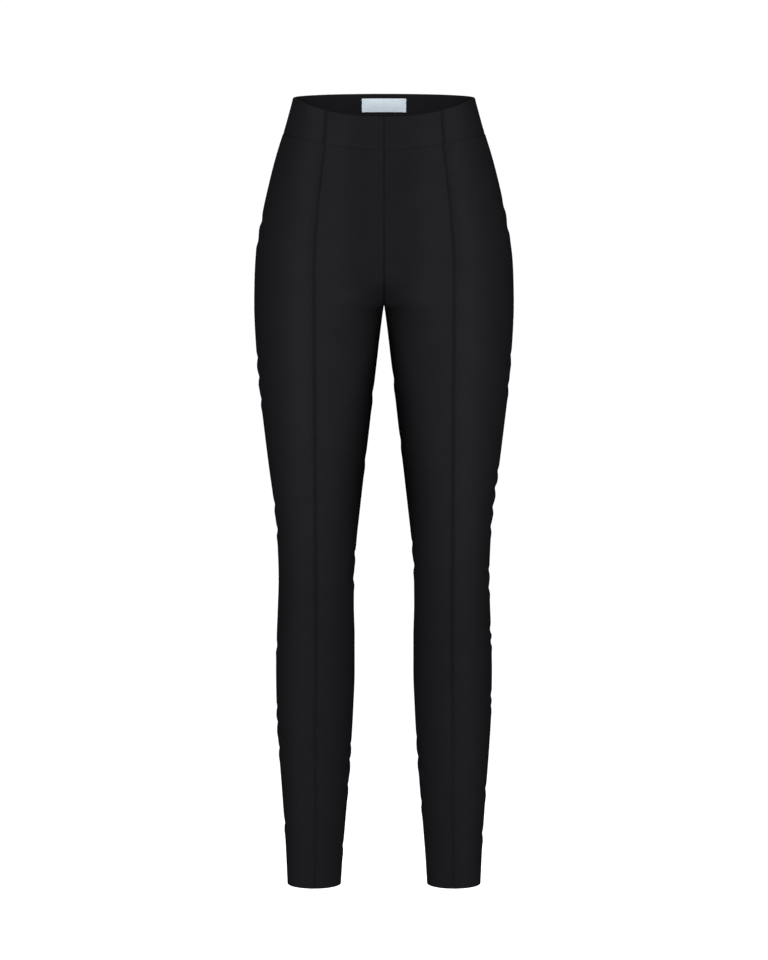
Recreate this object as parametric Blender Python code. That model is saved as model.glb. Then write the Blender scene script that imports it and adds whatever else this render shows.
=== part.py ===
"""High-waisted pull-on leggings, modelled as the cut pieces of a hollow, filled-out garment.

Units are metres and +Z is up.  The front faces -Y and the wearer's left is +X.  The origin is the
centre of the waistline, level with the top edge of the waistband at its sides and back.

Every cloth piece is a closed wall.  Its outer face follows level sections through a general
figure, its inner face lies one cloth thickness inside, and neighbouring pieces stop half a seam
gap short of the seam between them.  The right-hand pieces mirror the left-hand ones.
"""

import math
from collections import namedtuple
from functools import lru_cache

import bmesh
import bpy
import numpy as np
from mathutils import Vector

# ---------------------------------------------------------------- driving dimensions, in metres

SEAM_GAP = 0.0003
LEG_CLOTH = 0.0015
BAND_CLOTH = 0.0024
LABEL_CLOTH = 0.0010

CROTCH_HEIGHT = -0.252
HEM_HEIGHT = -0.9647

# The waistband's top edge is level round the sides and back, and scooped at the front.  A scoop
# ends at its reach, a share of the way from the front's middle to the side seam.  An ease above 1
# keeps its middle flat, and one below 1 makes it more pointed.
TOP_SCOOP = 0.0162
TOP_SCOOP_EASE = 1.25
BAND_DEPTH = 0.0430
BAND_SEAM_SCOOP = 0.0130
BAND_SEAM_EASE = 0.9
SCOOP_REACH = 0.87

# A pintuck runs down the middle of each front leg, below the waistband's vertical seam.  Base and
# crest are half widths.
TUCK_BASE = 0.0021
TUCK_CREST = 0.0008
TUCK_RISE = 0.0014

LABEL_HALF_WIDTH = 0.0274
LABEL_TOP = -0.0055
LABEL_BOTTOM = -0.0223

# ---------------------------------------------------------------- tables

# The figure from the waist down, for one leg.  outer is the widest half-width and side_y its
# depth, front and back are the foremost and hindmost depths, crest_front and crest_back are how
# far those lie from the middle of the body, and squareness is the exponent of the section's
# rounded quarters (2 is an ellipse).
Level = namedtuple("Level", "height outer side_y front back crest_front crest_back squareness")

FIGURE = (
    Level(0.010, 0.1085, 0.012, -0.0900, 0.0905, 0.000, 0.000, 2.15),
    Level(0.000, 0.1105, 0.012, -0.0915, 0.0920, 0.000, 0.000, 2.15),
    Level(-0.020, 0.1157, 0.011, -0.0950, 0.0960, 0.000, 0.000, 2.15),
    Level(-0.040, 0.1215, 0.010, -0.0985, 0.1010, 0.000, 0.002, 2.17),
    Level(-0.070, 0.1308, 0.009, -0.1030, 0.1105, 0.000, 0.012, 2.18),
    Level(-0.100, 0.1387, 0.008, -0.1060, 0.1210, 0.000, 0.024, 2.19),
    Level(-0.150, 0.1495, 0.007, -0.1080, 0.1355, 0.006, 0.040, 2.20),
    Level(-0.200, 0.1566, 0.006, -0.1068, 0.1400, 0.032, 0.054, 2.20),
    Level(-0.225, 0.1576, 0.005, -0.1045, 0.1345, 0.050, 0.062, 2.19),
    Level(-0.252, 0.1580, 0.004, -0.1008, 0.1225, 0.068, 0.071, 2.17),
    Level(-0.275, 0.1573, 0.003, -0.0975, 0.1115, 0.077, 0.076, 2.15),
    Level(-0.300, 0.1559, 0.002, -0.0942, 0.1015, 0.081, 0.080, 2.12),
    Level(-0.350, 0.1520, 0.000, -0.0885, 0.0860, 0.082, 0.082, 2.08),
    Level(-0.400, 0.1463, -0.003, -0.0840, 0.0740, 0.083, 0.082, 2.05),
    Level(-0.450, 0.1401, -0.005, -0.0788, 0.0660, 0.083, 0.082, 2.04),
    Level(-0.500, 0.1334, -0.007, -0.0732, 0.0595, 0.082, 0.081, 2.04),
    Level(-0.540, 0.1300, -0.007, -0.0690, 0.0550, 0.082, 0.081, 2.04),
    Level(-0.586, 0.1286, -0.006, -0.0655, 0.0530, 0.083, 0.082, 2.04),
    Level(-0.620, 0.1296, -0.003, -0.0620, 0.0560, 0.083, 0.083, 2.04),
    Level(-0.660, 0.1312, 0.001, -0.0575, 0.0615, 0.084, 0.083, 2.04),
    Level(-0.700, 0.1321, 0.004, -0.0538, 0.0655, 0.084, 0.084, 2.04),
    Level(-0.750, 0.1314, 0.005, -0.0505, 0.0640, 0.085, 0.084, 2.04),
    Level(-0.800, 0.1286, 0.004, -0.0478, 0.0575, 0.085, 0.084, 2.04),
    Level(-0.850, 0.1249, 0.002, -0.0454, 0.0500, 0.085, 0.084, 2.04),
    Level(-0.900, 0.1215, 0.000, -0.0432, 0.0440, 0.085, 0.085, 2.04),
    Level(-0.930, 0.1199, -0.001, -0.0422, 0.0412, 0.085, 0.085, 2.04),
    Level(-0.975, 0.1180, -0.001, -0.0410, 0.0385, 0.085, 0.085, 2.04),
)

# The inside of the leg below the crotch: inner is its distance from the middle of the body.
InsideLeg = namedtuple("InsideLeg", "height inner")

INSIDE_LEG = (
    InsideLeg(-0.252, 0.0000),
    InsideLeg(-0.275, 0.0032),
    InsideLeg(-0.300, 0.0062),
    InsideLeg(-0.350, 0.0120),
    InsideLeg(-0.400, 0.0176),
    InsideLeg(-0.450, 0.0234),
    InsideLeg(-0.500, 0.0291),
    InsideLeg(-0.540, 0.0334),
    InsideLeg(-0.586, 0.0364),
    InsideLeg(-0.620, 0.0367),
    InsideLeg(-0.660, 0.0358),
    InsideLeg(-0.700, 0.0358),
    InsideLeg(-0.750, 0.0376),
    InsideLeg(-0.800, 0.0405),
    InsideLeg(-0.850, 0.0441),
    InsideLeg(-0.900, 0.0483),
    InsideLeg(-0.930, 0.0506),
    InsideLeg(-0.975, 0.0533),
)

# Where the front vertical line crosses each height: the waistband's seam above, the tuck below.
FrontLine = namedtuple("FrontLine", "height across")

FRONT_LINE = (
    FrontLine(0.010, 0.0705),
    FrontLine(-0.010, 0.0708),
    FrontLine(-0.048, 0.0732),
    FrontLine(-0.088, 0.0780),
    FrontLine(-0.137, 0.0830),
    FrontLine(-0.197, 0.0862),
    FrontLine(-0.252, 0.0858),
    FrontLine(-0.450, 0.0845),
    FrontLine(-0.600, 0.0840),
    FrontLine(-0.975, 0.0855),
)

# How fast the crotch closes above its lowest point, for the front and for the fuller back.
Fork = namedtuple("Fork", "lean spread power")

FORKS = {
    "front": Fork(lean=0.13, spread=25.2, power=1.70),
    "back": Fork(lean=0.13, spread=17.6, power=1.70),
}

# ---------------------------------------------------------------- mesh density

# Rows run over the hip to HIP_FOOT, then over the fork of the legs, then down the leg, where each
# row is a little deeper than the one above.  The fork's last row meets the crotch on the inside
# and falls to FORK_FOOT_AT_SIDE beyond FAN_REACH, a share of the way to the side seam.
ROWS_HIP = 5
ROWS_FORK = 8
ROWS_LEG = 21
ROWS_BAND = 3
HIP_FOOT = -0.150
FORK_FOOT_AT_SIDE = -0.300
FAN_REACH = 0.55
LEG_ROW_GROWTH = 0.3

# The tuck takes three columns: up, across its crest and down.
COLUMNS_FRONT_INNER = 6
COLUMNS_TUCK = 3
COLUMNS_FRONT_OUTER = 6
COLUMNS_BACK = 11
COLUMNS_HALF_LABEL = 3
COLUMNS_BAND_BACK = 8

# How finely sections are measured, and the steps over which slopes are taken.
QUARTER_SAMPLES = 72
TURN_STEP = 0.01
HEIGHT_STEP = 0.0006
SETTLE_PASSES = 4

# ---------------------------------------------------------------- materials

Finish = namedtuple("Finish", "colour roughness metallic")

FINISHES = {
    "leg_knit": Finish((0.016, 0.016, 0.018, 1.0), 0.85, 0.0),
    "band_knit": Finish((0.017, 0.017, 0.019, 1.0), 0.85, 0.0),
    "label_weave": Finish((0.560, 0.630, 0.680, 1.0), 0.70, 0.0),
}

HALF_GAP = 0.5 * SEAM_GAP


# ---------------------------------------------------------------- reading the tables


def smooth_column(table, column):
    """Return a smooth function of height through one column of a table, without overshoot."""
    rows = sorted(table, key=lambda row: row.height)
    heights = [row.height for row in rows]
    values = [getattr(row, column) for row in rows]
    steps = np.diff(heights)
    slopes = np.diff(values) / steps
    tangents = np.zeros(len(values))
    tangents[0] = slopes[0]
    tangents[-1] = slopes[-1]
    for index in range(1, len(values) - 1):
        below = slopes[index - 1]
        above = slopes[index]
        if below * above > 0.0:
            weight_below = 2.0 * steps[index] + steps[index - 1]
            weight_above = steps[index] + 2.0 * steps[index - 1]
            total = weight_below + weight_above
            tangents[index] = total / (weight_below / below + weight_above / above)

    def read(height):
        span = int(np.clip(np.searchsorted(heights, height) - 1, 0, len(steps) - 1))
        share = (height - heights[span]) / steps[span]
        rise = values[span + 1] - values[span]
        start = steps[span] * tangents[span]
        end = steps[span] * tangents[span + 1]
        bend = 3.0 * rise - 2.0 * start - end
        twist = start + end - 2.0 * rise
        return values[span] + share * (start + share * (bend + share * twist))

    return read


FIGURE_AT = {column: smooth_column(FIGURE, column) for column in Level._fields[1:]}
INNER_AT = smooth_column(INSIDE_LEG, "inner")
FRONT_LINE_AT = smooth_column(FRONT_LINE, "across")


# ---------------------------------------------------------------- the outer surface


def inner_extreme(height, half):
    """Return where a section would end towards the body's middle if nothing cut it off there."""
    above_crotch = height - CROTCH_HEIGHT
    if above_crotch <= 0.0:
        return HALF_GAP + INNER_AT(height)
    fork = FORKS[half]
    return HALF_GAP - fork.lean * above_crotch - fork.spread * above_crotch ** fork.power


def section_points(height, half, turns):
    """Return x and y of a level section at some turns.

    A turn is -90 degrees at the section's inner extreme, 0 at its crest and 90 at the side seam.
    """
    level = {column: read(height) for column, read in FIGURE_AT.items()}
    crest_x = level["crest_" + half]
    crest_y = level[half]
    inwards = turns < 0.0
    extreme_x = np.where(inwards, inner_extreme(height, half), level["outer"])
    extreme_y = np.where(inwards, 0.5 * (level["front"] + level["back"]), level["side_y"])
    power = np.where(inwards, 1.0, 2.0 / level["squareness"])
    across = crest_x + (extreme_x - crest_x) * np.abs(np.sin(turns)) ** power
    depth = extreme_y + (crest_y - extreme_y) * np.abs(np.cos(turns)) ** power
    return np.column_stack((across, depth))


Arc = namedtuple("Arc", "turns points distances start end")


@lru_cache(maxsize=None)
def visible_arc(height, half):
    """Return the section from the middle or inside-leg seam to the side seam, with distances."""
    turns = np.linspace(-0.5 * math.pi, 0.5 * math.pi, 2 * QUARTER_SAMPLES + 1)
    points = section_points(height, half, turns)
    first = int(np.argmax(points[:, 0] >= HALF_GAP))
    if first > 0:
        reach = points[first, 0] - points[first - 1, 0]
        share = (HALF_GAP - points[first - 1, 0]) / reach
        cut_turn = turns[first - 1] + share * (turns[first] - turns[first - 1])
        turns = np.concatenate(([cut_turn], turns[first:]))
        points = section_points(height, half, turns)
        points[0, 0] = HALF_GAP
    steps = np.hypot(*np.diff(points, axis=0).T)
    distances = np.concatenate(([0.0], np.cumsum(steps)))
    start = HALF_GAP if height <= CROTCH_HEIGHT else 0.0
    return Arc(turns, points, distances, start, float(distances[-1]) - HALF_GAP)


def cloth_point(height, half, distance, depth):
    """Return the point at a depth inside the cloth, at a distance along a level section."""
    arc = visible_arc(height, half)
    turn = float(np.interp(distance, arc.distances, arc.turns))
    before = max(turn - TURN_STEP, -0.5 * math.pi)
    after = min(turn + TURN_STEP, 0.5 * math.pi)
    here, back, ahead = section_points(height, half, np.array([turn, before, after]))
    below = section_points(height - HEIGHT_STEP, half, np.array([turn]))[0]
    above = section_points(height + HEIGHT_STEP, half, np.array([turn]))[0]
    along = (ahead - back) / np.hypot(*(ahead - back))
    facing = 1.0 if half == "front" else -1.0
    level_normal = facing * np.array([along[1], -along[0]])
    lean = float((above - below) @ level_normal) / (2.0 * HEIGHT_STEP)
    outward = Vector((level_normal[0], level_normal[1], -lean)).normalized()
    point = Vector((here[0], here[1], height)) - depth * outward
    point.x = max(point.x, HALF_GAP)
    return point


# ---------------------------------------------------------------- cut lines and columns


def scoop(share, drop, ease):
    """Return how far a scooped edge hangs below its level part, by its share of the way round."""
    reach = min(share / SCOOP_REACH, 1.0) ** ease
    return drop * (1.0 - reach * reach * (3.0 - 2.0 * reach))


def band_top(half, share):
    """Return the height of the waistband's top edge."""
    return -scoop(share, TOP_SCOOP, TOP_SCOOP_EASE) if half == "front" else 0.0


def waist_seam(half, share):
    """Return the height of the seam between the waistband and the legs."""
    dip = scoop(share, BAND_SEAM_SCOOP, BAND_SEAM_EASE) if half == "front" else 0.0
    return -BAND_DEPTH - dip


def front_line_distance(height):
    """Return how far along the front section the line down the leg lies."""
    arc = visible_arc(height, "front")
    crest = int(np.searchsorted(arc.turns, 0.0))
    across = np.maximum.accumulate(arc.points[:, 0])
    return float(np.interp(FRONT_LINE_AT(height), across[crest:], arc.distances[crest:]))


def settle(height_of_share, distance_at_height, half, share):
    """Return a height and distance that agree, as each depends on the other, from a first share."""
    for _ in range(SETTLE_PASSES):
        height = round(height_of_share(share), 9)
        arc = visible_arc(height, half)
        distance = distance_at_height(height)
        share = (distance - arc.start) / (arc.end - arc.start)
    return height, distance


def front_column(column, height, seam_stop):
    """Return the distance of a front column: even inside the line, at its edges, and even outside.

    seam_stop is how far the two columns next to the line stay from it.
    """
    arc = visible_arc(height, "front")
    line = front_line_distance(height)
    left_edge = line - TUCK_BASE
    right_edge = line + TUCK_BASE
    if column <= COLUMNS_FRONT_INNER:
        return arc.start + (left_edge - arc.start) * column / COLUMNS_FRONT_INNER
    if column == COLUMNS_FRONT_INNER + 1:
        return line - seam_stop
    if column == COLUMNS_FRONT_INNER + 2:
        return line + seam_stop
    outer_column = column - COLUMNS_FRONT_INNER - COLUMNS_TUCK
    return right_edge + (arc.end - right_edge) * outer_column / COLUMNS_FRONT_OUTER


def leg_row_height(row, half, share):
    """Return the height of a row of a leg.

    Along the inner edge the rows crowd together at the crotch.  Towards the side seam they fall
    away from it and even out, so that they leave the curved crotch seam squarely.
    """
    reach = min(share / FAN_REACH, 1.0)
    evenness = reach * reach * (3.0 - 2.0 * reach)
    fork_foot = CROTCH_HEIGHT + (FORK_FOOT_AT_SIDE - CROTCH_HEIGHT) * evenness
    if row <= ROWS_HIP:
        top = waist_seam(half, share) - HALF_GAP
        return top + (HIP_FOOT - top) * row / ROWS_HIP
    if row <= ROWS_HIP + ROWS_FORK:
        left = 1.0 - (row - ROWS_HIP) / ROWS_FORK
        return fork_foot + (HIP_FOOT - fork_foot) * left ** (2.0 - evenness)
    down = (row - ROWS_HIP - ROWS_FORK) / ROWS_LEG
    eased = down * (1.0 - LEG_ROW_GROWTH + LEG_ROW_GROWTH * down)
    return fork_foot + (HEM_HEIGHT - fork_foot) * eased


# ---------------------------------------------------------------- points of each piece


def front_leg_point(column, row, depth):
    """Return a point of the left front leg, whose tuck stands out along its middle."""
    height, distance = settle(
        lambda share: leg_row_height(row, "front", share),
        lambda level: front_column(column, level, TUCK_CREST),
        "front",
        column / (COLUMNS_FRONT_INNER + COLUMNS_TUCK + COLUMNS_FRONT_OUTER),
    )
    on_crest = column in (COLUMNS_FRONT_INNER + 1, COLUMNS_FRONT_INNER + 2)
    if on_crest and depth == 0.0:
        depth = -TUCK_RISE
    return cloth_point(height, "front", distance, depth)


def back_leg_point(column, row, depth):
    """Return a point of the left back leg."""
    share = column / COLUMNS_BACK
    height = leg_row_height(row, "back", share)
    arc = visible_arc(height, "back")
    return cloth_point(height, "back", arc.start + (arc.end - arc.start) * share, depth)


def front_band_point(column, row, depth):
    """Return a point of the left front of the waistband, in the front leg's own columns."""
    down = row / ROWS_BAND

    def height_of_share(share):
        top = band_top("front", share)
        foot = waist_seam("front", share) + HALF_GAP
        return top + (foot - top) * down

    height, distance = settle(
        height_of_share,
        lambda level: front_column(column, level, HALF_GAP),
        "front",
        column / (COLUMNS_FRONT_INNER + COLUMNS_TUCK + COLUMNS_FRONT_OUTER),
    )
    return cloth_point(height, "front", distance, depth)


def side_band_point(column, row, depth):
    """Return a point of the left side part of the waistband, which starts at the vertical seam."""
    return front_band_point(column + COLUMNS_FRONT_INNER + 2, row, depth)


BACK_BAND_HEIGHTS = (0.0, LABEL_TOP, LABEL_BOTTOM, HALF_GAP - BAND_DEPTH)
COLUMNS_HALF_BACK = COLUMNS_HALF_LABEL + COLUMNS_BAND_BACK


def back_band_point(column, row, depth):
    """Return a point of the back of the waistband, counted from its middle, left is positive."""
    steps = abs(column - COLUMNS_HALF_BACK)
    height = BACK_BAND_HEIGHTS[row]
    arc = visible_arc(height, "back")
    if steps <= COLUMNS_HALF_LABEL:
        distance = LABEL_HALF_WIDTH * steps / COLUMNS_HALF_LABEL
    else:
        further = (steps - COLUMNS_HALF_LABEL) / COLUMNS_BAND_BACK
        distance = LABEL_HALF_WIDTH + (arc.end - LABEL_HALF_WIDTH) * further
    point = cloth_point(height, "back", distance, depth)
    if steps == 0:
        point.x = 0.0
    if column < COLUMNS_HALF_BACK:
        point.x = -point.x
    return point


def label_point(column, row, depth):
    """Return a point of the label, from the waistband's own points moved into the hollow."""
    band_column = column + COLUMNS_HALF_BACK - COLUMNS_HALF_LABEL
    return back_band_point(band_column, row + 1, BAND_CLOTH + SEAM_GAP + depth)


# ---------------------------------------------------------------- making the solids


def make_material(name):
    """Make a plain material with a piece's colour, roughness and metallic value."""
    finish = FINISHES[name]
    material = bpy.data.materials.new(name)
    material.use_nodes = True
    shader = material.node_tree.nodes["Principled BSDF"]
    shader.inputs["Base Color"].default_value = finish.colour
    shader.inputs["Roughness"].default_value = finish.roughness
    shader.inputs["Metallic"].default_value = finish.metallic
    return material


Piece = namedtuple("Piece", "name columns rows point_at thickness finish mirrored")

LEG_ROWS = ROWS_HIP + ROWS_FORK + ROWS_LEG
FRONT_COLUMNS = COLUMNS_FRONT_INNER + COLUMNS_TUCK + COLUMNS_FRONT_OUTER

BAND_FRONT_COLUMNS = COLUMNS_FRONT_INNER + 1
BAND_SIDE_COLUMNS = COLUMNS_FRONT_OUTER + 1
BACK_COLUMNS = 2 * COLUMNS_HALF_BACK
LABEL_COLUMNS = 2 * COLUMNS_HALF_LABEL
BACK_ROWS = len(BACK_BAND_HEIGHTS) - 1

PIECES = (
    Piece("front_leg", FRONT_COLUMNS, LEG_ROWS, front_leg_point, LEG_CLOTH, "leg_knit", True),
    Piece("back_leg", COLUMNS_BACK, LEG_ROWS, back_leg_point, LEG_CLOTH, "leg_knit", True),
    Piece("waistband_front", BAND_FRONT_COLUMNS, ROWS_BAND, front_band_point, BAND_CLOTH, "band_knit", True),
    Piece("waistband_side", BAND_SIDE_COLUMNS, ROWS_BAND, side_band_point, BAND_CLOTH, "band_knit", True),
    Piece("waistband_back", BACK_COLUMNS, BACK_ROWS, back_band_point, BAND_CLOTH, "band_knit", False),
    Piece("label", LABEL_COLUMNS, 1, label_point, LABEL_CLOTH, "label_weave", False),
)


def make_wall(piece, name, side, collection, material):
    """Loft one closed wall of cloth: a grid for its outer face, extruded to its inner face."""
    shape = bmesh.new()
    bmesh.ops.create_grid(shape, x_segments=piece.columns, y_segments=piece.rows, size=0.5)
    outer_face = list(shape.verts)
    extruded = bmesh.ops.extrude_face_region(shape, geom=list(shape.faces), use_keep_orig=True)
    inner_face = [item for item in extruded["geom"] if isinstance(item, bmesh.types.BMVert)]
    for vertices, depth in ((outer_face, 0.0), (inner_face, piece.thickness)):
        for vertex in vertices:
            column = round((vertex.co.x + 0.5) * piece.columns)
            row = round((vertex.co.y + 0.5) * piece.rows)
            point = piece.point_at(column, row, depth)
            vertex.co = (side * point.x, point.y, point.z)
    bmesh.ops.recalc_face_normals(shape, faces=list(shape.faces))
    if shape.calc_volume(signed=True) < 0.0:
        bmesh.ops.reverse_faces(shape, faces=list(shape.faces))
    mesh = bpy.data.meshes.new(name)
    shape.to_mesh(mesh)
    shape.free()
    mesh.materials.append(material)
    collection.objects.link(bpy.data.objects.new(name, mesh))


def clear_scene():
    """Remove every object that is already in the scene."""
    for leftover in list(bpy.data.objects):
        bpy.data.objects.remove(leftover, do_unlink=True)


def build_leggings():
    """Make every cut piece of the leggings in one collection."""
    clear_scene()
    collection = bpy.data.collections.new("leggings")
    bpy.context.scene.collection.children.link(collection)
    materials = {name: make_material(name) for name in FINISHES}
    for piece in PIECES:
        material = materials[piece.finish]
        if piece.mirrored:
            make_wall(piece, piece.name + "_left", 1.0, collection, material)
            make_wall(piece, piece.name + "_right", -1.0, collection, material)
        else:
            make_wall(piece, piece.name, 1.0, collection, material)


build_leggings()
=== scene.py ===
"""A pair of black, high-waisted, pull-on leggings, dressed around its CAD frame.

Units are metres, +Z is up, the front faces -Y and the wearer's left is +X.  Every cloth piece
follows the same figure as its CAD node, with finer columns and rows, rolled seam edges, a stitched
tuck, creases and painted light and shade at each point, which darken or lighten the cloth's black.
"""

import logging
import math
from dataclasses import dataclass, field, fields
from enum import Enum
from functools import partial
from typing import Callable, Optional, Sequence, Union

import bmesh
import bpy
import numpy as np
from mathutils import Matrix, Vector

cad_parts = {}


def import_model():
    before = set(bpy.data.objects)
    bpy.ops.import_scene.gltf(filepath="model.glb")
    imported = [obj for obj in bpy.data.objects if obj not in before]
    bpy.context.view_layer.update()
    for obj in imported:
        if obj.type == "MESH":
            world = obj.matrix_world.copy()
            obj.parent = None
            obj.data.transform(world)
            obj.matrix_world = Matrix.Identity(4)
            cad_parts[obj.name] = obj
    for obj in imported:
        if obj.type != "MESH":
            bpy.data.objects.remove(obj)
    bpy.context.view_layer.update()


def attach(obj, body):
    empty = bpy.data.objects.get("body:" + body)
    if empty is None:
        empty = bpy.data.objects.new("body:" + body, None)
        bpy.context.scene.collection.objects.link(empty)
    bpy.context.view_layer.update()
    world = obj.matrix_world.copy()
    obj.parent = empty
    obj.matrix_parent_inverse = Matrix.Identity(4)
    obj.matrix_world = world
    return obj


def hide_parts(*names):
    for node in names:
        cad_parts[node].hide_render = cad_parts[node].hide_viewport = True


LOG = logging.getLogger("leggings")

UV_NAME = "cloth"
# Painted light and shade: the name of the attribute that darkens or lightens the cloth's colour at
# each point.
PAINTED_SHADING_NAME = "tone"
# The share of colour where no painted light or shade falls on an outer face.
PLAIN_SHADING_LEVEL = 0.70
# Painted light: inner faces keep the full colour, lighter than the outer faces' plain level, which
# lightens the shaded inside of the cloth.
INSIDE_PAINTED_LIGHT = 1.0
ROOT = "root"
QUARTER_TURN = 0.5 * math.pi
FULL_TURN = 2.0 * math.pi
TINY = 1e-12


class Half(Enum):
    """Which half of a level section a piece follows."""

    FRONT = "front"
    BACK = "back"


class Side(Enum):
    """Which of the wearer's sides a piece is on, as the sign of its x."""

    LEFT = 1.0
    RIGHT = -1.0


class Seam(Enum):
    """The seam that a crease's place is measured from."""

    OUTSEAM = "outseam"
    INSEAM = "inseam"


def smooth(share: np.ndarray) -> np.ndarray:
    """Return a share from 0 to 1 eased at both ends."""
    return share * share * (3.0 - 2.0 * share)


def step_up(value: np.ndarray, low: float, high: Union[float, np.ndarray]) -> np.ndarray:
    """Return a smooth step from 0 at low to 1 at high."""
    return smooth(np.clip((value - low) / (high - low), 0.0, 1.0))


def bell(value: np.ndarray, middle: float, width: float) -> np.ndarray:
    """Return a soft bump of height 1 at its middle."""
    return np.exp(-(((value - middle) / width) ** 2))


def rolled(gap: np.ndarray, reach: float, depth: float) -> np.ndarray:
    """Return how far a face sinks towards an edge that curls in."""
    return depth * np.clip(1.0 - gap / reach, 0.0, 1.0) ** 2


def rounded(gap: np.ndarray, radius: float) -> np.ndarray:
    """Return how far a face sinks towards an edge with a full round."""
    left = np.clip(radius - gap, 0.0, radius)
    return radius - np.sqrt(radius * radius - left * left)


# ---------------------------------------------------------------- the figure


@dataclass(frozen=True)
class Level:
    """One level of the figure, for the left leg."""

    height: float
    outer: float
    side_y: float
    front: float
    back: float
    crest_front: float
    crest_back: float
    squareness: float


@dataclass(frozen=True)
class LinePoint:
    """How far across the body a line lies at a height."""

    height: float
    across: float


@dataclass(frozen=True)
class Fork:
    """How fast the crotch closes above its lowest point."""

    lean: float
    spread: float
    power: float


@dataclass(frozen=True)
class Scoop:
    """How an edge dips at the front: how deep, and how pointed."""

    drop: float
    ease: float


LEVELS = (
    Level(0.010, 0.1085, 0.012, -0.0900, 0.0905, 0.000, 0.000, 2.15),
    Level(0.000, 0.1105, 0.012, -0.0915, 0.0920, 0.000, 0.000, 2.15),
    Level(-0.020, 0.1157, 0.011, -0.0950, 0.0960, 0.000, 0.000, 2.15),
    Level(-0.040, 0.1215, 0.010, -0.0985, 0.1010, 0.000, 0.002, 2.17),
    Level(-0.070, 0.1308, 0.009, -0.1030, 0.1105, 0.000, 0.012, 2.18),
    Level(-0.100, 0.1387, 0.008, -0.1060, 0.1210, 0.000, 0.024, 2.19),
    Level(-0.150, 0.1495, 0.007, -0.1080, 0.1355, 0.006, 0.040, 2.20),
    Level(-0.200, 0.1566, 0.006, -0.1068, 0.1400, 0.032, 0.054, 2.20),
    Level(-0.225, 0.1576, 0.005, -0.1045, 0.1345, 0.050, 0.062, 2.19),
    Level(-0.252, 0.1580, 0.004, -0.1008, 0.1225, 0.068, 0.071, 2.17),
    Level(-0.275, 0.1573, 0.003, -0.0975, 0.1115, 0.077, 0.076, 2.15),
    Level(-0.300, 0.1559, 0.002, -0.0942, 0.1015, 0.081, 0.080, 2.12),
    Level(-0.350, 0.1520, 0.000, -0.0885, 0.0860, 0.082, 0.082, 2.08),
    Level(-0.400, 0.1463, -0.003, -0.0840, 0.0740, 0.083, 0.082, 2.05),
    Level(-0.450, 0.1401, -0.005, -0.0788, 0.0660, 0.083, 0.082, 2.04),
    Level(-0.500, 0.1334, -0.007, -0.0732, 0.0595, 0.082, 0.081, 2.04),
    Level(-0.540, 0.1300, -0.007, -0.0690, 0.0550, 0.082, 0.081, 2.04),
    Level(-0.586, 0.1286, -0.006, -0.0655, 0.0530, 0.083, 0.082, 2.04),
    Level(-0.620, 0.1296, -0.003, -0.0620, 0.0560, 0.083, 0.083, 2.04),
    Level(-0.660, 0.1312, 0.001, -0.0575, 0.0615, 0.084, 0.083, 2.04),
    Level(-0.700, 0.1321, 0.004, -0.0538, 0.0655, 0.084, 0.084, 2.04),
    Level(-0.750, 0.1314, 0.005, -0.0505, 0.0640, 0.085, 0.084, 2.04),
    Level(-0.800, 0.1286, 0.004, -0.0478, 0.0575, 0.085, 0.084, 2.04),
    Level(-0.850, 0.1249, 0.002, -0.0454, 0.0500, 0.085, 0.084, 2.04),
    Level(-0.900, 0.1215, 0.000, -0.0432, 0.0440, 0.085, 0.085, 2.04),
    Level(-0.930, 0.1199, -0.001, -0.0422, 0.0412, 0.085, 0.085, 2.04),
    Level(-0.975, 0.1180, -0.001, -0.0410, 0.0385, 0.085, 0.085, 2.04),
)

INSIDE_LEG = (
    LinePoint(-0.252, 0.0000),
    LinePoint(-0.275, 0.0032),
    LinePoint(-0.300, 0.0062),
    LinePoint(-0.350, 0.0120),
    LinePoint(-0.400, 0.0176),
    LinePoint(-0.450, 0.0234),
    LinePoint(-0.500, 0.0291),
    LinePoint(-0.540, 0.0334),
    LinePoint(-0.586, 0.0364),
    LinePoint(-0.620, 0.0367),
    LinePoint(-0.660, 0.0358),
    LinePoint(-0.700, 0.0358),
    LinePoint(-0.750, 0.0376),
    LinePoint(-0.800, 0.0405),
    LinePoint(-0.850, 0.0441),
    LinePoint(-0.900, 0.0483),
    LinePoint(-0.930, 0.0506),
    LinePoint(-0.975, 0.0533),
)

FRONT_LINE = (
    LinePoint(0.010, 0.0705),
    LinePoint(-0.010, 0.0708),
    LinePoint(-0.048, 0.0732),
    LinePoint(-0.088, 0.0780),
    LinePoint(-0.137, 0.0830),
    LinePoint(-0.197, 0.0862),
    LinePoint(-0.252, 0.0858),
    LinePoint(-0.450, 0.0845),
    LinePoint(-0.600, 0.0840),
    LinePoint(-0.975, 0.0855),
)


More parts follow.
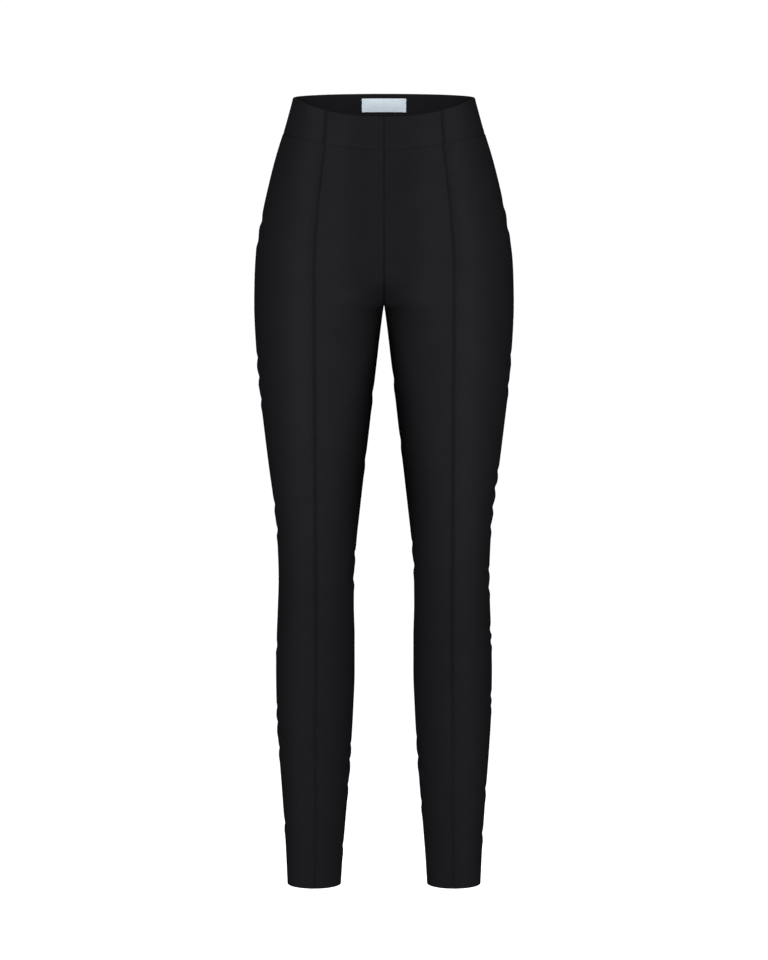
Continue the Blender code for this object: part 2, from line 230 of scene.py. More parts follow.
class SmoothColumn:
    """A smooth curve of height through one column of a table, without overshoot."""

    def __init__(self, heights: Sequence[float], values: Sequence[float]) -> None:
        """Work out the slope at each row.

        Args:
            heights: the rows' heights, in any order.
            values: the column's value in each row.
        """
        order = np.argsort(heights)
        self.heights = np.asarray(heights, dtype=float)[order]
        self.values = np.asarray(values, dtype=float)[order]
        self.steps = np.diff(self.heights)
        slopes = np.diff(self.values) / self.steps
        self.tangents = np.zeros(len(self.values))
        self.tangents[0] = slopes[0]
        self.tangents[-1] = slopes[-1]
        for index in range(1, len(self.values) - 1):
            below = slopes[index - 1]
            above = slopes[index]
            if below * above > 0.0:
                weight_below = 2.0 * self.steps[index] + self.steps[index - 1]
                weight_above = self.steps[index] + 2.0 * self.steps[index - 1]
                total = weight_below + weight_above
                self.tangents[index] = total / (weight_below / below + weight_above / above)

    def at(self, height: np.ndarray) -> np.ndarray:
        """Read the curve.

        Args:
            height: the heights to read it at.

        Returns:
            The column's values there.
        """
        span = np.clip(np.searchsorted(self.heights, height) - 1, 0, len(self.steps) - 1)
        step = self.steps[span]
        share = (height - self.heights[span]) / step
        rise = self.values[span + 1] - self.values[span]
        start = step * self.tangents[span]
        end = step * self.tangents[span + 1]
        bend = 3.0 * rise - 2.0 * start - end
        twist = start + end - 2.0 * rise
        return self.values[span] + share * (start + share * (bend + share * twist))


@dataclass
class Arcs:
    """Level sections from the middle or inside-leg seam to the side seam, one a row."""

    turns: np.ndarray
    across: np.ndarray
    distances: np.ndarray
    start: np.ndarray
    end: np.ndarray

    def look_up(self, keys: np.ndarray, values: np.ndarray, wanted: np.ndarray) -> np.ndarray:
        """Read each row's own curve of values over rising keys.

        Args:
            keys: rising keys, a row for each section.
            values: the values at those keys.
            wanted: one key for each section.

        Returns:
            One value for each section.
        """
        last = keys.shape[1] - 2
        index = np.clip((keys <= wanted[:, None]).sum(axis=1) - 1, 0, last)
        row = np.arange(len(wanted))
        low = keys[row, index]
        high = keys[row, index + 1]
        share = np.clip((wanted - low) / np.maximum(high - low, TINY), 0.0, 1.0)
        return values[row, index] + share * (values[row, index + 1] - values[row, index])


@dataclass
class Samples:
    """Points of the figure's surface, with their outward directions and where they lie."""

    half: Half
    point: np.ndarray
    outward: np.ndarray
    height: np.ndarray
    distance: np.ndarray
    start: np.ndarray
    line: np.ndarray
    end: np.ndarray

    def lifted(self, lift: np.ndarray) -> np.ndarray:
        """Return the points, each lifted off the surface."""
        return self.point + self.outward * lift[..., None]

    def flipped(self) -> "Samples":
        """Return the points with their columns in the other order."""
        names = [item.name for item in fields(self)[1:]]
        return Samples(self.half, *(getattr(self, name)[:, ::-1] for name in names))


@dataclass(frozen=True)
class Column:
    """A column of a piece, as shares of the section's start, front line and end, and an offset."""

    start: float
    line: float
    end: float
    offset: float


def from_start(offset: float) -> Column:
    """Return a column that lies past the middle or inside-leg end of the section."""
    return Column(1.0, 0.0, 0.0, offset)


def from_line(offset: float) -> Column:
    """Return a column that lies past the tuck, towards the side."""
    return Column(0.0, 1.0, 0.0, offset)


def from_end(offset: float) -> Column:
    """Return a column that lies past the side end of the section."""
    return Column(0.0, 0.0, 1.0, offset)


def rim_columns(offsets: Sequence[float], at_end: bool) -> list:
    """Return columns close to the start or the end of a section, in order across the piece.

    Args:
        offsets: how far each lies from the edge, the nearest first.
        at_end: whether the edge is at the section's end.

    Returns:
        The columns.
    """
    if at_end:
        return [from_end(-offset) for offset in reversed(offsets)]
    return [from_start(offset) for offset in offsets]


def filled(first: Sequence[Column], count: int, last: Sequence[Column]) -> list:
    """Fill the way between two groups of columns with equal steps.

    Args:
        first: the columns before.
        count: the number of steps.
        last: the columns after.

    Returns:
        All the columns, in order.
    """
    ends = [[getattr(end, item.name) for item in fields(Column)] for end in (first[-1], last[0])]
    between = []
    for share in (index / count for index in range(1, count)):
        between.append(Column(*((1.0 - share) * a + share * b for a, b in zip(*ends))))
    return [*first, *between, *last]


def at_height(row: np.ndarray, share: np.ndarray) -> np.ndarray:
    """Return row numbers that are heights as they stand."""
    return row + 0.0 * share


RIM_OFFSETS = (0.0, 0.0003, 0.0007, 0.0012, 0.0018, 0.0026)
IMPRINT_OFFSETS = (0.0040, 0.0053, 0.0061, 0.0068, 0.0078)


@dataclass
class Figure:
    """The filled-out form that every cloth piece follows, on the wearer's left."""

    seam_gap: float = 0.0003
    waist_gap: float = 0.0001
    crotch_height: float = -0.252
    hem_height: float = -0.9647
    band_depth: float = 0.0430
    top_scoop: Scoop = Scoop(drop=0.0162, ease=1.25)
    seam_scoop: Scoop = Scoop(drop=0.0130, ease=0.9)
    scoop_reach: float = 0.87
    hip_rows: float = 5.0
    fork_rows: float = 8.0
    leg_rows: float = 21.0
    hip_foot: float = -0.150
    fork_foot_at_side: float = -0.300
    fan_reach: float = 0.55
    leg_row_growth: float = 0.3
    arc_samples: int = 121
    turn_step: float = 0.01
    height_step: float = 0.0006
    settle_passes: int = 4
    batch: int = 4000
    columns: dict = field(default_factory=dict)
    forks: dict = field(default_factory=dict)

    def __post_init__(self) -> None:
        """Fit a smooth curve through each column of the tables."""
        heights = [level.height for level in LEVELS]
        for name in (item.name for item in fields(Level)[1:]):
            self.columns[name] = SmoothColumn(heights, [getattr(level, name) for level in LEVELS])
        for name, table in (("inner", INSIDE_LEG), ("front_line", FRONT_LINE)):
            self.columns[name] = SmoothColumn([p.height for p in table], [p.across for p in table])
        self.forks[Half.FRONT] = Fork(lean=0.13, spread=25.2, power=1.70)
        self.forks[Half.BACK] = Fork(lean=0.13, spread=17.6, power=1.70)

    @property
    def half_gap(self) -> float:
        """Return half a seam gap."""
        return 0.5 * self.seam_gap

    @property
    def total_rows(self) -> float:
        """Return the row number of a leg's hem."""
        return self.hip_rows + self.fork_rows + self.leg_rows

    def inner_extreme(self, half: Half, height: np.ndarray) -> np.ndarray:
        """Find where a section would end towards the body's middle if nothing cut it off.

        Args:
            half: the half of the section.
            height: the sections' heights.

        Returns:
            The x of each section's end.
        """
        fork = self.forks[half]
        above = np.maximum(height - self.crotch_height, 0.0)
        closing = fork.lean * above + fork.spread * above**fork.power
        inside = self.columns["inner"].at(np.minimum(height, self.crotch_height))
        return self.half_gap + np.where(above > 0.0, -closing, inside)

    def section(self, half: Half, height: np.ndarray, turns: np.ndarray) -> tuple:
        """Find points of level sections.

        Args:
            half: the half of the section.
            height: the sections' heights.
            turns: -90 degrees at the inner extreme, 0 at the crest and 90 at the side seam.

        Returns:
            The points' x and y.
        """
        level = {name: curve.at(height) for name, curve in self.columns.items()}
        crest_x = level["crest_" + half.value]
        crest_y = level[half.value]
        inwards = turns < 0.0
        extreme_x = np.where(inwards, self.inner_extreme(half, height), level["outer"])
        middle_y = 0.5 * (level["front"] + level["back"])
        extreme_y = np.where(inwards, middle_y, level["side_y"])
        power = np.where(inwards, 1.0, 2.0 / level["squareness"])
        across = crest_x + (extreme_x - crest_x) * np.abs(np.sin(turns)) ** power
        depth = extreme_y + (crest_y - extreme_y) * np.abs(np.cos(turns)) ** power
        return across, depth

    def arcs(self, half: Half, height: np.ndarray) -> Arcs:
        """Measure level sections from the middle or inside-leg seam to the side seam.

        Args:
            half: the half of the section.
            height: the sections' heights.

        Returns:
            The sections, one a row.
        """
        level = height[:, None]
        even = np.linspace(0.0, 1.0, self.arc_samples)[None, :]
        turns = np.broadcast_to(math.pi * even - QUARTER_TURN, (len(height), self.arc_samples))
        across, _ = self.section(half, level, turns)
        first = np.argmax(across >= self.half_gap, axis=1)
        row = np.arange(len(height))
        before = np.maximum(first - 1, 0)
        reach = np.maximum(across[row, first] - across[row, before], TINY)
        share = np.clip((self.half_gap - across[row, before]) / reach, 0.0, 1.0)
        crossing = turns[row, before] + share * (turns[0, 1] - turns[0, 0])
        cut = np.where(first > 0, crossing, -QUARTER_TURN)
        turns = cut[:, None] + (QUARTER_TURN - cut)[:, None] * even
        across, depth = self.section(half, level, turns)
        across[:, 0] = np.maximum(across[:, 0], self.half_gap)
        steps = np.hypot(np.diff(across, axis=1), np.diff(depth, axis=1))
        distances = np.concatenate((np.zeros((len(height), 1)), np.cumsum(steps, axis=1)), axis=1)
        start = np.where(height <= self.crotch_height, self.half_gap, 0.0)
        return Arcs(turns, across, distances, start, distances[:, -1] - self.half_gap)

    def scoop(self, share: np.ndarray, shape: Scoop) -> np.ndarray:
        """Return how far a scooped edge hangs below its level part, by its share of the way."""
        reach = np.minimum(np.maximum(share, 0.0) / self.scoop_reach, 1.0) ** shape.ease
        return shape.drop * (1.0 - smooth(reach))

    def band_top(self, half: Half, share: np.ndarray) -> np.ndarray:
        """Return the height of the waistband's top edge."""
        return -self.scoop(share, self.top_scoop) if half is Half.FRONT else 0.0 * share

    def waist_seam(self, half: Half, share: np.ndarray) -> np.ndarray:
        """Return the height of the seam between the waistband and the legs."""
        dip = self.scoop(share, self.seam_scoop) if half is Half.FRONT else 0.0 * share
        return -self.band_depth - dip

    def leg_height(self, half: Half, row: np.ndarray, share: np.ndarray) -> np.ndarray:
        """Find the height of a leg's rows, which fan out from the crotch.

        Args:
            half: the half of the section.
            row: row numbers, which need not be whole.
            share: the share of the way to the side seam.

        Returns:
            The heights.
        """
        evenness = smooth(np.clip(share / self.fan_reach, 0.0, 1.0))
        foot = self.crotch_height + (self.fork_foot_at_side - self.crotch_height) * evenness
        top = self.waist_seam(half, share) - 0.5 * self.waist_gap
        hip = top + (self.hip_foot - top) * row / self.hip_rows
        left = np.clip(1.0 - (row - self.hip_rows) / self.fork_rows, 0.0, 1.0)
        fork = foot + (self.hip_foot - foot) * left ** (2.0 - evenness)
        down = np.clip((row - self.hip_rows - self.fork_rows) / self.leg_rows, 0.0, 1.0)
        eased = down * (1.0 - self.leg_row_growth + self.leg_row_growth * down)
        leg = foot + (self.hem_height - foot) * eased
        below_hip = np.where(row <= self.hip_rows + self.fork_rows, fork, leg)
        return np.where(row <= self.hip_rows, hip, below_hip)

    def sample(
        self,
        half: Half,
        columns: Sequence[Column],
        rows: Sequence[float],
        height_of: Callable[[np.ndarray, np.ndarray], np.ndarray],
    ) -> Samples:
        """Find a grid of points of the surface.

        Args:
            half: the half of the section.
            columns: the grid's columns.
            rows: the grid's row numbers.
            height_of: the height at a row number and a share of the way to the side seam.

        Returns:
            The points, each array with a first index for rows and a second for columns.
        """
        weights = np.array([(c.start, c.line, c.end, c.offset) for c in columns])
        row_grid, column_grid = np.meshgrid(rows, np.arange(len(columns)), indexing="ij")
        flat_rows = row_grid.ravel().astype(float)
        flat_weights = weights[column_grid.ravel()]
        parts = []
        for first in range(0, len(flat_rows), self.batch):
            chosen = slice(first, first + self.batch)
            some_weights, some_rows = flat_weights[chosen], flat_rows[chosen]
            parts.append(self._sample_flat(half, some_weights, some_rows, height_of))
        shape = row_grid.shape
        joined = [np.concatenate(values) for values in zip(*parts)]
        point = np.stack([values.reshape(shape) for values in joined[:3]], axis=2)
        outward = np.stack(np.split(joined[3], 3, axis=1), axis=2).reshape(shape + (3,))
        height, distance = joined[2].reshape(shape), joined[4].reshape(shape)
        start, line, end = (values.reshape(shape) for values in joined[5:])
        return Samples(half, point, outward, height, distance, start, line, end)

    def _sample_flat(
        self,
        half: Half,
        weights: np.ndarray,
        rows: np.ndarray,
        height_of: Callable[[np.ndarray, np.ndarray], np.ndarray],
    ) -> tuple:
        """Settle height against distance for a list of points, then find each point.

        Args:
            half: the half of the section.
            weights: each point's column.
            rows: each point's row number.
            height_of: the height at a row number and a share of the way to the side seam.

        Returns:
            x, y, height, outward direction, distance, start, front line and end.
        """
        share = weights[:, 2] + 0.5 * weights[:, 1]
        for _ in range(self.settle_passes):
            height = height_of(rows, share)
            arcs = self.arcs(half, height)
            crest = self.columns["crest_" + half.value].at(height)
            line_x = np.maximum(self.columns["front_line"].at(height), crest)
            line = arcs.look_up(np.maximum.accumulate(arcs.across, axis=1), arcs.distances, line_x)
            distance = weights[:, 0] * arcs.start + weights[:, 1] * line + weights[:, 2] * arcs.end
            distance = distance + weights[:, 3]
            share = (distance - arcs.start) / (arcs.end - arcs.start)
        turn = arcs.look_up(arcs.distances, arcs.turns, distance)
        x, y = self.section(half, height, turn)
        turn_before = np.maximum(turn - self.turn_step, -QUARTER_TURN)
        turn_after = np.minimum(turn + self.turn_step, QUARTER_TURN)
        back_x, back_y = self.section(half, height, turn_before)
        next_x, next_y = self.section(half, height, turn_after)
        length = np.hypot(next_x - back_x, next_y - back_y)
        facing = 1.0 if half is Half.FRONT else -1.0
        normal_x = facing * (next_y - back_y) / length
        normal_y = -facing * (next_x - back_x) / length
        below_x, below_y = self.section(half, height - self.height_step, turn)
        above_x, above_y = self.section(half, height + self.height_step, turn)
        rise = (above_x - below_x) * normal_x + (above_y - below_y) * normal_y
        lean = rise / (2.0 * self.height_step)
        outward = np.column_stack((normal_x, normal_y, -lean))
        outward /= np.linalg.norm(outward, axis=1)[:, None]
        return x, y, height, outward, distance, arcs.start, line, arcs.end


# ---------------------------------------------------------------- creases


@dataclass(frozen=True)
class Crease:
    """A soft trough in the cloth with a low ridge under it.

    place is how far its middle lies in front of the seam, reach is half its length, width is how
    wide the trough is to either side, tilt lifts its front end, in degrees, and bow lifts its
    middle. The ridge has its own height, place and width, as shares of the trough's.
    """

    seam: Seam
    place: float
    height: float
    reach: float
    width: float
    depth: float
    tilt: float = 0.0
    bow: float = 0.0
    ridge: float = 0.5
    ridge_place: float = 1.7
    ridge_width: float = 1.15

    def relief(self, around: np.ndarray, height: np.ndarray) -> np.ndarray:
        """Work out how far the crease lifts the cloth.

        Args:
            around: how far each point lies in front of the crease's seam.
            height: each point's height.

        Returns:
            The lift, which is negative in the trough.
        """
        angle = math.radians(self.tilt)
        to_front = around - self.place
        up = height - self.height
        along = (to_front * math.cos(angle) + up * math.sin(angle)) / self.reach
        taper = np.clip(1.0 - along * along, 0.0, 1.0) ** 2
        off = up * math.cos(angle) - to_front * math.sin(angle) - self.bow * (1.0 - along * along)
        trough = bell(off, 0.0, self.width)
        shoulder = bell(off, -self.ridge_place * self.width, self.ridge_width * self.width)
        return self.depth * taper * (self.ridge * shoulder - trough)


OUT, IN = Seam.OUTSEAM, Seam.INSEAM

CREASES = {
    Side.LEFT: (
        Crease(OUT, 0.015, -0.1240, 0.044, 0.0065, 0.0012, tilt=16, bow=-0.002),
        Crease(OUT, 0.005, -0.1560, 0.037, 0.0059, 0.0009, tilt=8),
        Crease(OUT, 0.011, -0.3180, 0.034, 0.0054, 0.0012, tilt=-16, bow=0.002),
        Crease(OUT, 0.007, -0.3520, 0.031, 0.0050, 0.0011, tilt=-12),
        Crease(OUT, 0.009, -0.4580, 0.034, 0.0048, 0.0014, tilt=-12, bow=0.002),
        Crease(OUT, 0.012, -0.4800, 0.041, 0.0050, 0.0018, tilt=-9, bow=0.003),
        Crease(OUT, 0.008, -0.5010, 0.034, 0.0043, 0.0015, tilt=-5, bow=0.002),
        Crease(OUT, 0.005, -0.5240, 0.031, 0.0045, 0.0012, tilt=4, bow=0.002),
        Crease(OUT, 0.009, -0.5770, 0.029, 0.0041, 0.0014, tilt=-6),
        Crease(OUT, 0.007, -0.5980, 0.027, 0.0039, 0.0013, tilt=3),
        Crease(OUT, 0.010, -0.6460, 0.036, 0.0045, 0.0020, tilt=14, bow=-0.002),
        Crease(OUT, 0.006, -0.6640, 0.029, 0.0041, 0.0014, tilt=9),
        Crease(OUT, 0.006, -0.7310, 0.029, 0.0043, 0.0012, tilt=11),
        Crease(OUT, 0.003, -0.7440, 0.024, 0.0039, 0.0009, tilt=5),
        Crease(OUT, 0.004, -0.8480, 0.027, 0.0045, 0.0011, tilt=-13),
        Crease(OUT, 0.002, -0.9020, 0.027, 0.0048, 0.0011, tilt=-7),
        Crease(IN, 0.024, -0.2300, 0.030, 0.0065, 0.0006, tilt=36, bow=0.004),
        Crease(IN, 0.034, -0.2580, 0.036, 0.0075, 0.0005, tilt=24, bow=0.005),
        Crease(IN, 0.009, -0.3380, 0.041, 0.0067, 0.0011, tilt=24),
        Crease(IN, 0.007, -0.4150, 0.037, 0.0065, 0.0008, tilt=18),
        Crease(IN, 0.006, -0.5460, 0.031, 0.0050, 0.0012, tilt=-8, bow=0.002),
        Crease(IN, 0.004, -0.5720, 0.031, 0.0048, 0.0013, tilt=4, bow=0.002),
        Crease(IN, 0.008, -0.7900, 0.029, 0.0043, 0.0013, tilt=-34),
        Crease(IN, 0.010, -0.8160, 0.037, 0.0045, 0.0018, tilt=-28, bow=0.002),
        Crease(IN, 0.005, -0.8660, 0.027, 0.0045, 0.0012, tilt=-20),
        Crease(IN, -0.034, -0.2820, 0.046, 0.0085, 0.0019, tilt=-30, bow=-0.005),
        Crease(IN, -0.044, -0.3160, 0.052, 0.0095, 0.0016, tilt=-22, bow=-0.006),
        Crease(OUT, -0.064, -0.2640, 0.058, 0.0105, 0.0016, tilt=13, bow=-0.008),
        Crease(OUT, -0.086, -0.3020, 0.044, 0.0090, 0.0011, tilt=6, bow=-0.006),
        Crease(OUT, -0.070, -0.4300, 0.046, 0.0110, 0.0009, tilt=-14, bow=-0.005),
        Crease(OUT, -0.078, -0.5240, 0.042, 0.0078, 0.0012, tilt=12, bow=-0.005),
        Crease(OUT, -0.090, -0.5460, 0.050, 0.0072, 0.0022, tilt=9, bow=-0.007),
        Crease(OUT, -0.070, -0.5690, 0.058, 0.0078, 0.0030, tilt=-4, bow=-0.009),
        Crease(OUT, -0.088, -0.6010, 0.050, 0.0070, 0.0021, tilt=-8, bow=-0.005),
        Crease(OUT, -0.054, -0.6260, 0.038, 0.0068, 0.0013, tilt=-15, bow=-0.004),
        Crease(OUT, -0.066, -0.7700, 0.040, 0.0090, 0.0009, tilt=12, bow=-0.004),
        Crease(OUT, -0.054, -0.8580, 0.038, 0.0062, 0.0013, tilt=11, bow=-0.004),
        Crease(OUT, -0.064, -0.8870, 0.042, 0.0060, 0.0018, tilt=-4, bow=-0.005),
        Crease(OUT, -0.050, -0.9180, 0.032, 0.0052, 0.0011, tilt=-12, bow=-0.003),
    ),
    Side.RIGHT: (
        Crease(OUT, 0.013, -0.1430, 0.044, 0.0060, 0.0016, tilt=18, bow=-0.002),
        Crease(OUT, 0.015, -0.1700, 0.037, 0.0056, 0.0012, tilt=11),
        Crease(OUT, 0.010, -0.3210, 0.037, 0.0052, 0.0015, tilt=-15, bow=0.002),
        Crease(OUT, 0.007, -0.3430, 0.034, 0.0048, 0.0014, tilt=-11, bow=0.002),
        Crease(OUT, 0.005, -0.3670, 0.029, 0.0045, 0.0011, tilt=-6),
        Crease(OUT, 0.007, -0.4980, 0.032, 0.0050, 0.0012, tilt=-10, bow=0.002),
        Crease(OUT, 0.005, -0.5280, 0.032, 0.0048, 0.0013, tilt=2, bow=0.002),
        Crease(OUT, 0.006, -0.6690, 0.029, 0.0048, 0.0011, tilt=12),
        Crease(OUT, 0.009, -0.7500, 0.031, 0.0041, 0.0015, tilt=-20),
        Crease(OUT, 0.011, -0.7730, 0.037, 0.0045, 0.0020, tilt=-27, bow=0.002),
        Crease(OUT, 0.006, -0.7990, 0.029, 0.0043, 0.0014, tilt=-20),
        Crease(OUT, 0.003, -0.8890, 0.027, 0.0048, 0.0011, tilt=-9),
        Crease(IN, 0.022, -0.2330, 0.028, 0.0065, 0.0005, tilt=40, bow=0.004),
        Crease(IN, 0.036, -0.2630, 0.038, 0.0075, 0.0006, tilt=21, bow=0.005),
        Crease(IN, 0.010, -0.3560, 0.043, 0.0067, 0.0011, tilt=20),
        Crease(IN, 0.007, -0.4380, 0.037, 0.0063, 0.0008, tilt=14),
        Crease(IN, 0.006, -0.5580, 0.031, 0.0050, 0.0013, tilt=-5, bow=0.002),
        Crease(IN, 0.004, -0.5860, 0.031, 0.0048, 0.0012, tilt=6),
        Crease(IN, 0.007, -0.7960, 0.029, 0.0041, 0.0014, tilt=-24),
        Crease(IN, 0.010, -0.8200, 0.036, 0.0045, 0.0018, tilt=-31, bow=0.002),
        Crease(IN, 0.007, -0.8460, 0.029, 0.0041, 0.0013, tilt=-24),
        Crease(IN, 0.007, -0.9120, 0.027, 0.0043, 0.0014, tilt=38),
        Crease(IN, -0.032, -0.2860, 0.044, 0.0085, 0.0018, tilt=-26, bow=-0.005),
        Crease(IN, -0.046, -0.3240, 0.054, 0.0098, 0.0015, tilt=-18, bow=-0.006),
        Crease(OUT, -0.070, -0.2580, 0.052, 0.0105, 0.0017, tilt=9, bow=-0.008),
        Crease(OUT, -0.058, -0.2960, 0.046, 0.0092, 0.0012, tilt=14, bow=-0.006),
        Crease(OUT, -0.082, -0.4020, 0.048, 0.0115, 0.0009, tilt=11, bow=-0.005),
        Crease(OUT, -0.074, -0.5140, 0.046, 0.0080, 0.0013, tilt=-8, bow=-0.005),
        Crease(OUT, -0.068, -0.5430, 0.052, 0.0072, 0.0020, tilt=5, bow=-0.006),
        Crease(OUT, -0.086, -0.5640, 0.056, 0.0078, 0.0028, tilt=-6, bow=-0.008),
        Crease(OUT, -0.068, -0.5960, 0.054, 0.0074, 0.0023, tilt=-2, bow=-0.006),
        Crease(OUT, -0.090, -0.6240, 0.038, 0.0066, 0.0014, tilt=11, bow=-0.004),
        Crease(OUT, -0.058, -0.7520, 0.042, 0.0092, 0.0009, tilt=-11, bow=-0.004),
        Crease(OUT, -0.058, -0.8660, 0.040, 0.0062, 0.0014, tilt=6, bow=-0.004),
        Crease(OUT, -0.052, -0.8960, 0.038, 0.0060, 0.0017, tilt=-9, bow=-0.005),
        Crease(OUT, -0.062, -0.9230, 0.030, 0.0050, 0.0010, tilt=4, bow=-0.003),
    ),
}


# ---------------------------------------------------------------- shader graph

Value = Union["Signal", float, tuple]


class Signal:
    """A shader socket that takes part in Python sums."""

    def __init__(self, graph: "Graph", socket: bpy.types.NodeSocket) -> None:
        """Wrap an output socket of a graph."""
        self.graph = graph
        self.socket = socket

    def _maths(self, operation: str, *values: Value) -> "Signal":
        """Return a Math node's result."""
        return self.graph.node("ShaderNodeMath", {"operation": operation}, dict(enumerate(values)))

    def __add__(self, other: Value) -> "Signal":
        """Return self + other."""
        return self._maths("ADD", self, other)

    def __radd__(self, other: Value) -> "Signal":
        """Return other + self."""
        return self._maths("ADD", other, self)

    def __sub__(self, other: Value) -> "Signal":
        """Return self - other."""
        return self._maths("SUBTRACT", self, other)

    def __rsub__(self, other: Value) -> "Signal":
        """Return other - self."""
        return self._maths("SUBTRACT", other, self)

    def __mul__(self, other: Value) -> "Signal":
        """Return self * other."""
        return self._maths("MULTIPLY", self, other)

    def __rmul__(self, other: Value) -> "Signal":
        """Return other * self."""
        return self._maths("MULTIPLY", other, self)

    def __truediv__(self, other: Value) -> "Signal":
        """Return self / other."""
        return self._maths("DIVIDE", self, other)

    def __abs__(self) -> "Signal":
        """Return the value without its sign."""
        return self._maths("ABSOLUTE", self)

    def fraction(self) -> "Signal":
        """Return the part after the decimal point."""
        return self._maths("FRACT", self)

    def sine(self) -> "Signal":
        """Return the sine of an angle in radians."""
        return self._maths("SINE", self)

    def clamped(self) -> "Signal":
        """Return the value held between 0 and 1."""
        return self.graph.node("ShaderNodeClamp", {}, {0: self})


class Graph:
    """One material's nodes, around its Principled shader."""

    def __init__(self, name: str) -> None:
        """Make an empty material with a Principled shader.

        Args:
            name: the material's name.
        """
        self.material = bpy.data.materials.new(name)
        self.material.use_nodes = True
        self.tree = self.material.node_tree
        self.shader = self.tree.nodes["Principled BSDF"]

    def connect(self, target: bpy.types.NodeSocket, value: Value) -> None:
        """Link a signal to a socket, or set the socket's own value.

        Args:
            target: the socket.
            value: the signal or the value.
        """
        if isinstance(value, Signal):
            self.tree.links.new(value.socket, target)
        else:
            target.default_value = value

    def node(self, kind: str, settings: dict, inputs: dict, output: Union[int, str] = 0) -> Signal:
        """Add a node.

        Args:
            kind: the node's type.
            settings: its own settings, which are set first.
            inputs: values or signals by socket name or number.
            output: the socket to return.

        Returns:
            The chosen output.
        """
        made = self.tree.nodes.new(kind)
        for name, value in settings.items():
            setattr(made, name, value)
        for key, value in inputs.items():
            self.connect(made.inputs[key], value)
        return Signal(self, made.outputs[output])

    def mix_colours(self, factor: Value, first: Value, second: Value) -> Signal:
        """Return a blend from the first colour to the second."""
        inputs = {0: factor, 6: first, 7: second}
        return self.node("ShaderNodeMix", {"data_type": "RGBA"}, inputs, 2)

    def noise(self, scale: float, detail: float = 2.0) -> Signal:
        """Make noise that is fixed to the object.

        Args:
            scale: how fine it is.
            detail: how many finer layers it has.

        Returns:
            The noise.
        """
        place = self.node("ShaderNodeTexCoord", {}, {}, "Object")
        inputs = {"Vector": place, "Scale": scale, "Detail": detail}
        return self.node("ShaderNodeTexNoise", {}, inputs)

    def threads(self, sizes: Sequence[float]) -> list:
        """Count threads or loops across and along the cloth.

        Args:
            sizes: how wide and how tall one is.

        Returns:
            The two counts.
        """
        uv = self.node("ShaderNodeUVMap", {"uv_map": UV_NAME}, {}, "UV")
        places = [self.node("ShaderNodeSeparateXYZ", {}, {0: uv}, axis) for axis in "XY"]
        return [place / size for place, size in zip(places, sizes)]


@dataclass(frozen=True)
class Finish:
    """What every finish has: a name, the slot that it stands for, two colours and a surface."""

    name: str
    slot: str
    dark: tuple
    light: tuple
    roughness: float = 1.0
    specular: float = 0.0
    strength: float = 0.5
    bump: float = 0.00004

    def make(self) -> bpy.types.Material:
        """Return the material."""
        raise NotImplementedError

    def cover(self, graph: Graph, colour: Signal, relief: Signal) -> bpy.types.Material:
        """Feed the shader its colour, relief and gloss.

        Args:
            graph: the material's nodes.
            colour: the colour.
            relief: the height of the surface.

        Returns:
            The material.
        """
        bump = {"Height": relief, "Strength": self.strength, "Distance": self.bump}
        graph.connect(graph.shader.inputs["Base Color"], colour)
        graph.connect(graph.shader.inputs["Normal"], graph.node("ShaderNodeBump", {}, bump))
        graph.connect(graph.shader.inputs["Roughness"], self.roughness)
        graph.connect(graph.shader.inputs["Specular IOR Level"], self.specular)
        return graph.material


@dataclass(frozen=True)
class KnitFinish(Finish):
    """A matt, firm knit with fine columns of stitches, with painted shade in its hollows and
    painted light and shade at each point.
    """

    strength: float = 0.6
    bump: float = 0.00010
    wale: float = 0.00085
    course: float = 0.00070
    fuzz_scale: float = 1500.0
    patch_scale: float = 34.0
    patch_detail: float = 3.0
    rib_relief: float = 0.45
    loop_relief: float = 0.35
    fuzz_relief: float = 0.5
    fuzz_shade: float = 0.55
    patch_shade: float = 0.35
    relief_shade: float = 0.25
    shade_drop: float = 0.15

    def make(self) -> bpy.types.Material:
        """Make the knit's material.

        Returns:
            The material.
        """
        graph = Graph(self.name)
        across, along = graph.threads((self.wale, self.course))
        lean = abs(across.fraction() - 0.5)
        rib = (across * FULL_TURN).sine() * 0.5 + 0.5
        loop = ((along + lean) * FULL_TURN).sine() * 0.5 + 0.5
        fuzz = graph.noise(self.fuzz_scale)
        patches = graph.noise(self.patch_scale, self.patch_detail)
        relief = rib * self.rib_relief + loop * self.loop_relief + fuzz * self.fuzz_relief
        # Painted shade: the colour is darker in the hollows between the knit's ribs and loops and
        # lighter on the raised yarn, on top of random fuzz and patches.
        shade = fuzz * self.fuzz_shade + patches * self.patch_shade + relief * self.relief_shade
        mottle_and_hollow_shade = graph.mix_colours((shade - self.shade_drop).clamped(), self.dark, self.light)
        # Painted light and shade: the colour is darkened or lightened by the attribute at each
        # point.
        tone = graph.node("ShaderNodeAttribute", {"attribute_name": PAINTED_SHADING_NAME}, {}, "Fac")
        return self.cover(graph, graph.mix_colours(tone, opaque(0.0, 0.0, 0.0), mottle_and_hollow_shade), relief)


@dataclass(frozen=True)
class WovenFinish(Finish):
    """A smooth, close, plain weave."""

    roughness: float = 0.55
    specular: float = 0.35
    bump: float = 0.00006
    warp: float = 0.00045
    weft: float = 0.00060
    cloud_scale: float = 160.0
    cloud_share: float = 0.6

    def make(self) -> bpy.types.Material:
        """Make the weave's material.

        Returns:
            The material.
        """
        graph = Graph(self.name)
        across, along = graph.threads((self.warp, self.weft))
        weave = (across * FULL_TURN).sine() * (along * FULL_TURN).sine() * 0.5 + 0.5
        clouds = graph.noise(self.cloud_scale) * self.cloud_share
        shade = (weave * (1.0 - self.cloud_share) + clouds).clamped()
        return self.cover(graph, graph.mix_colours(shade, self.dark, self.light), weave)


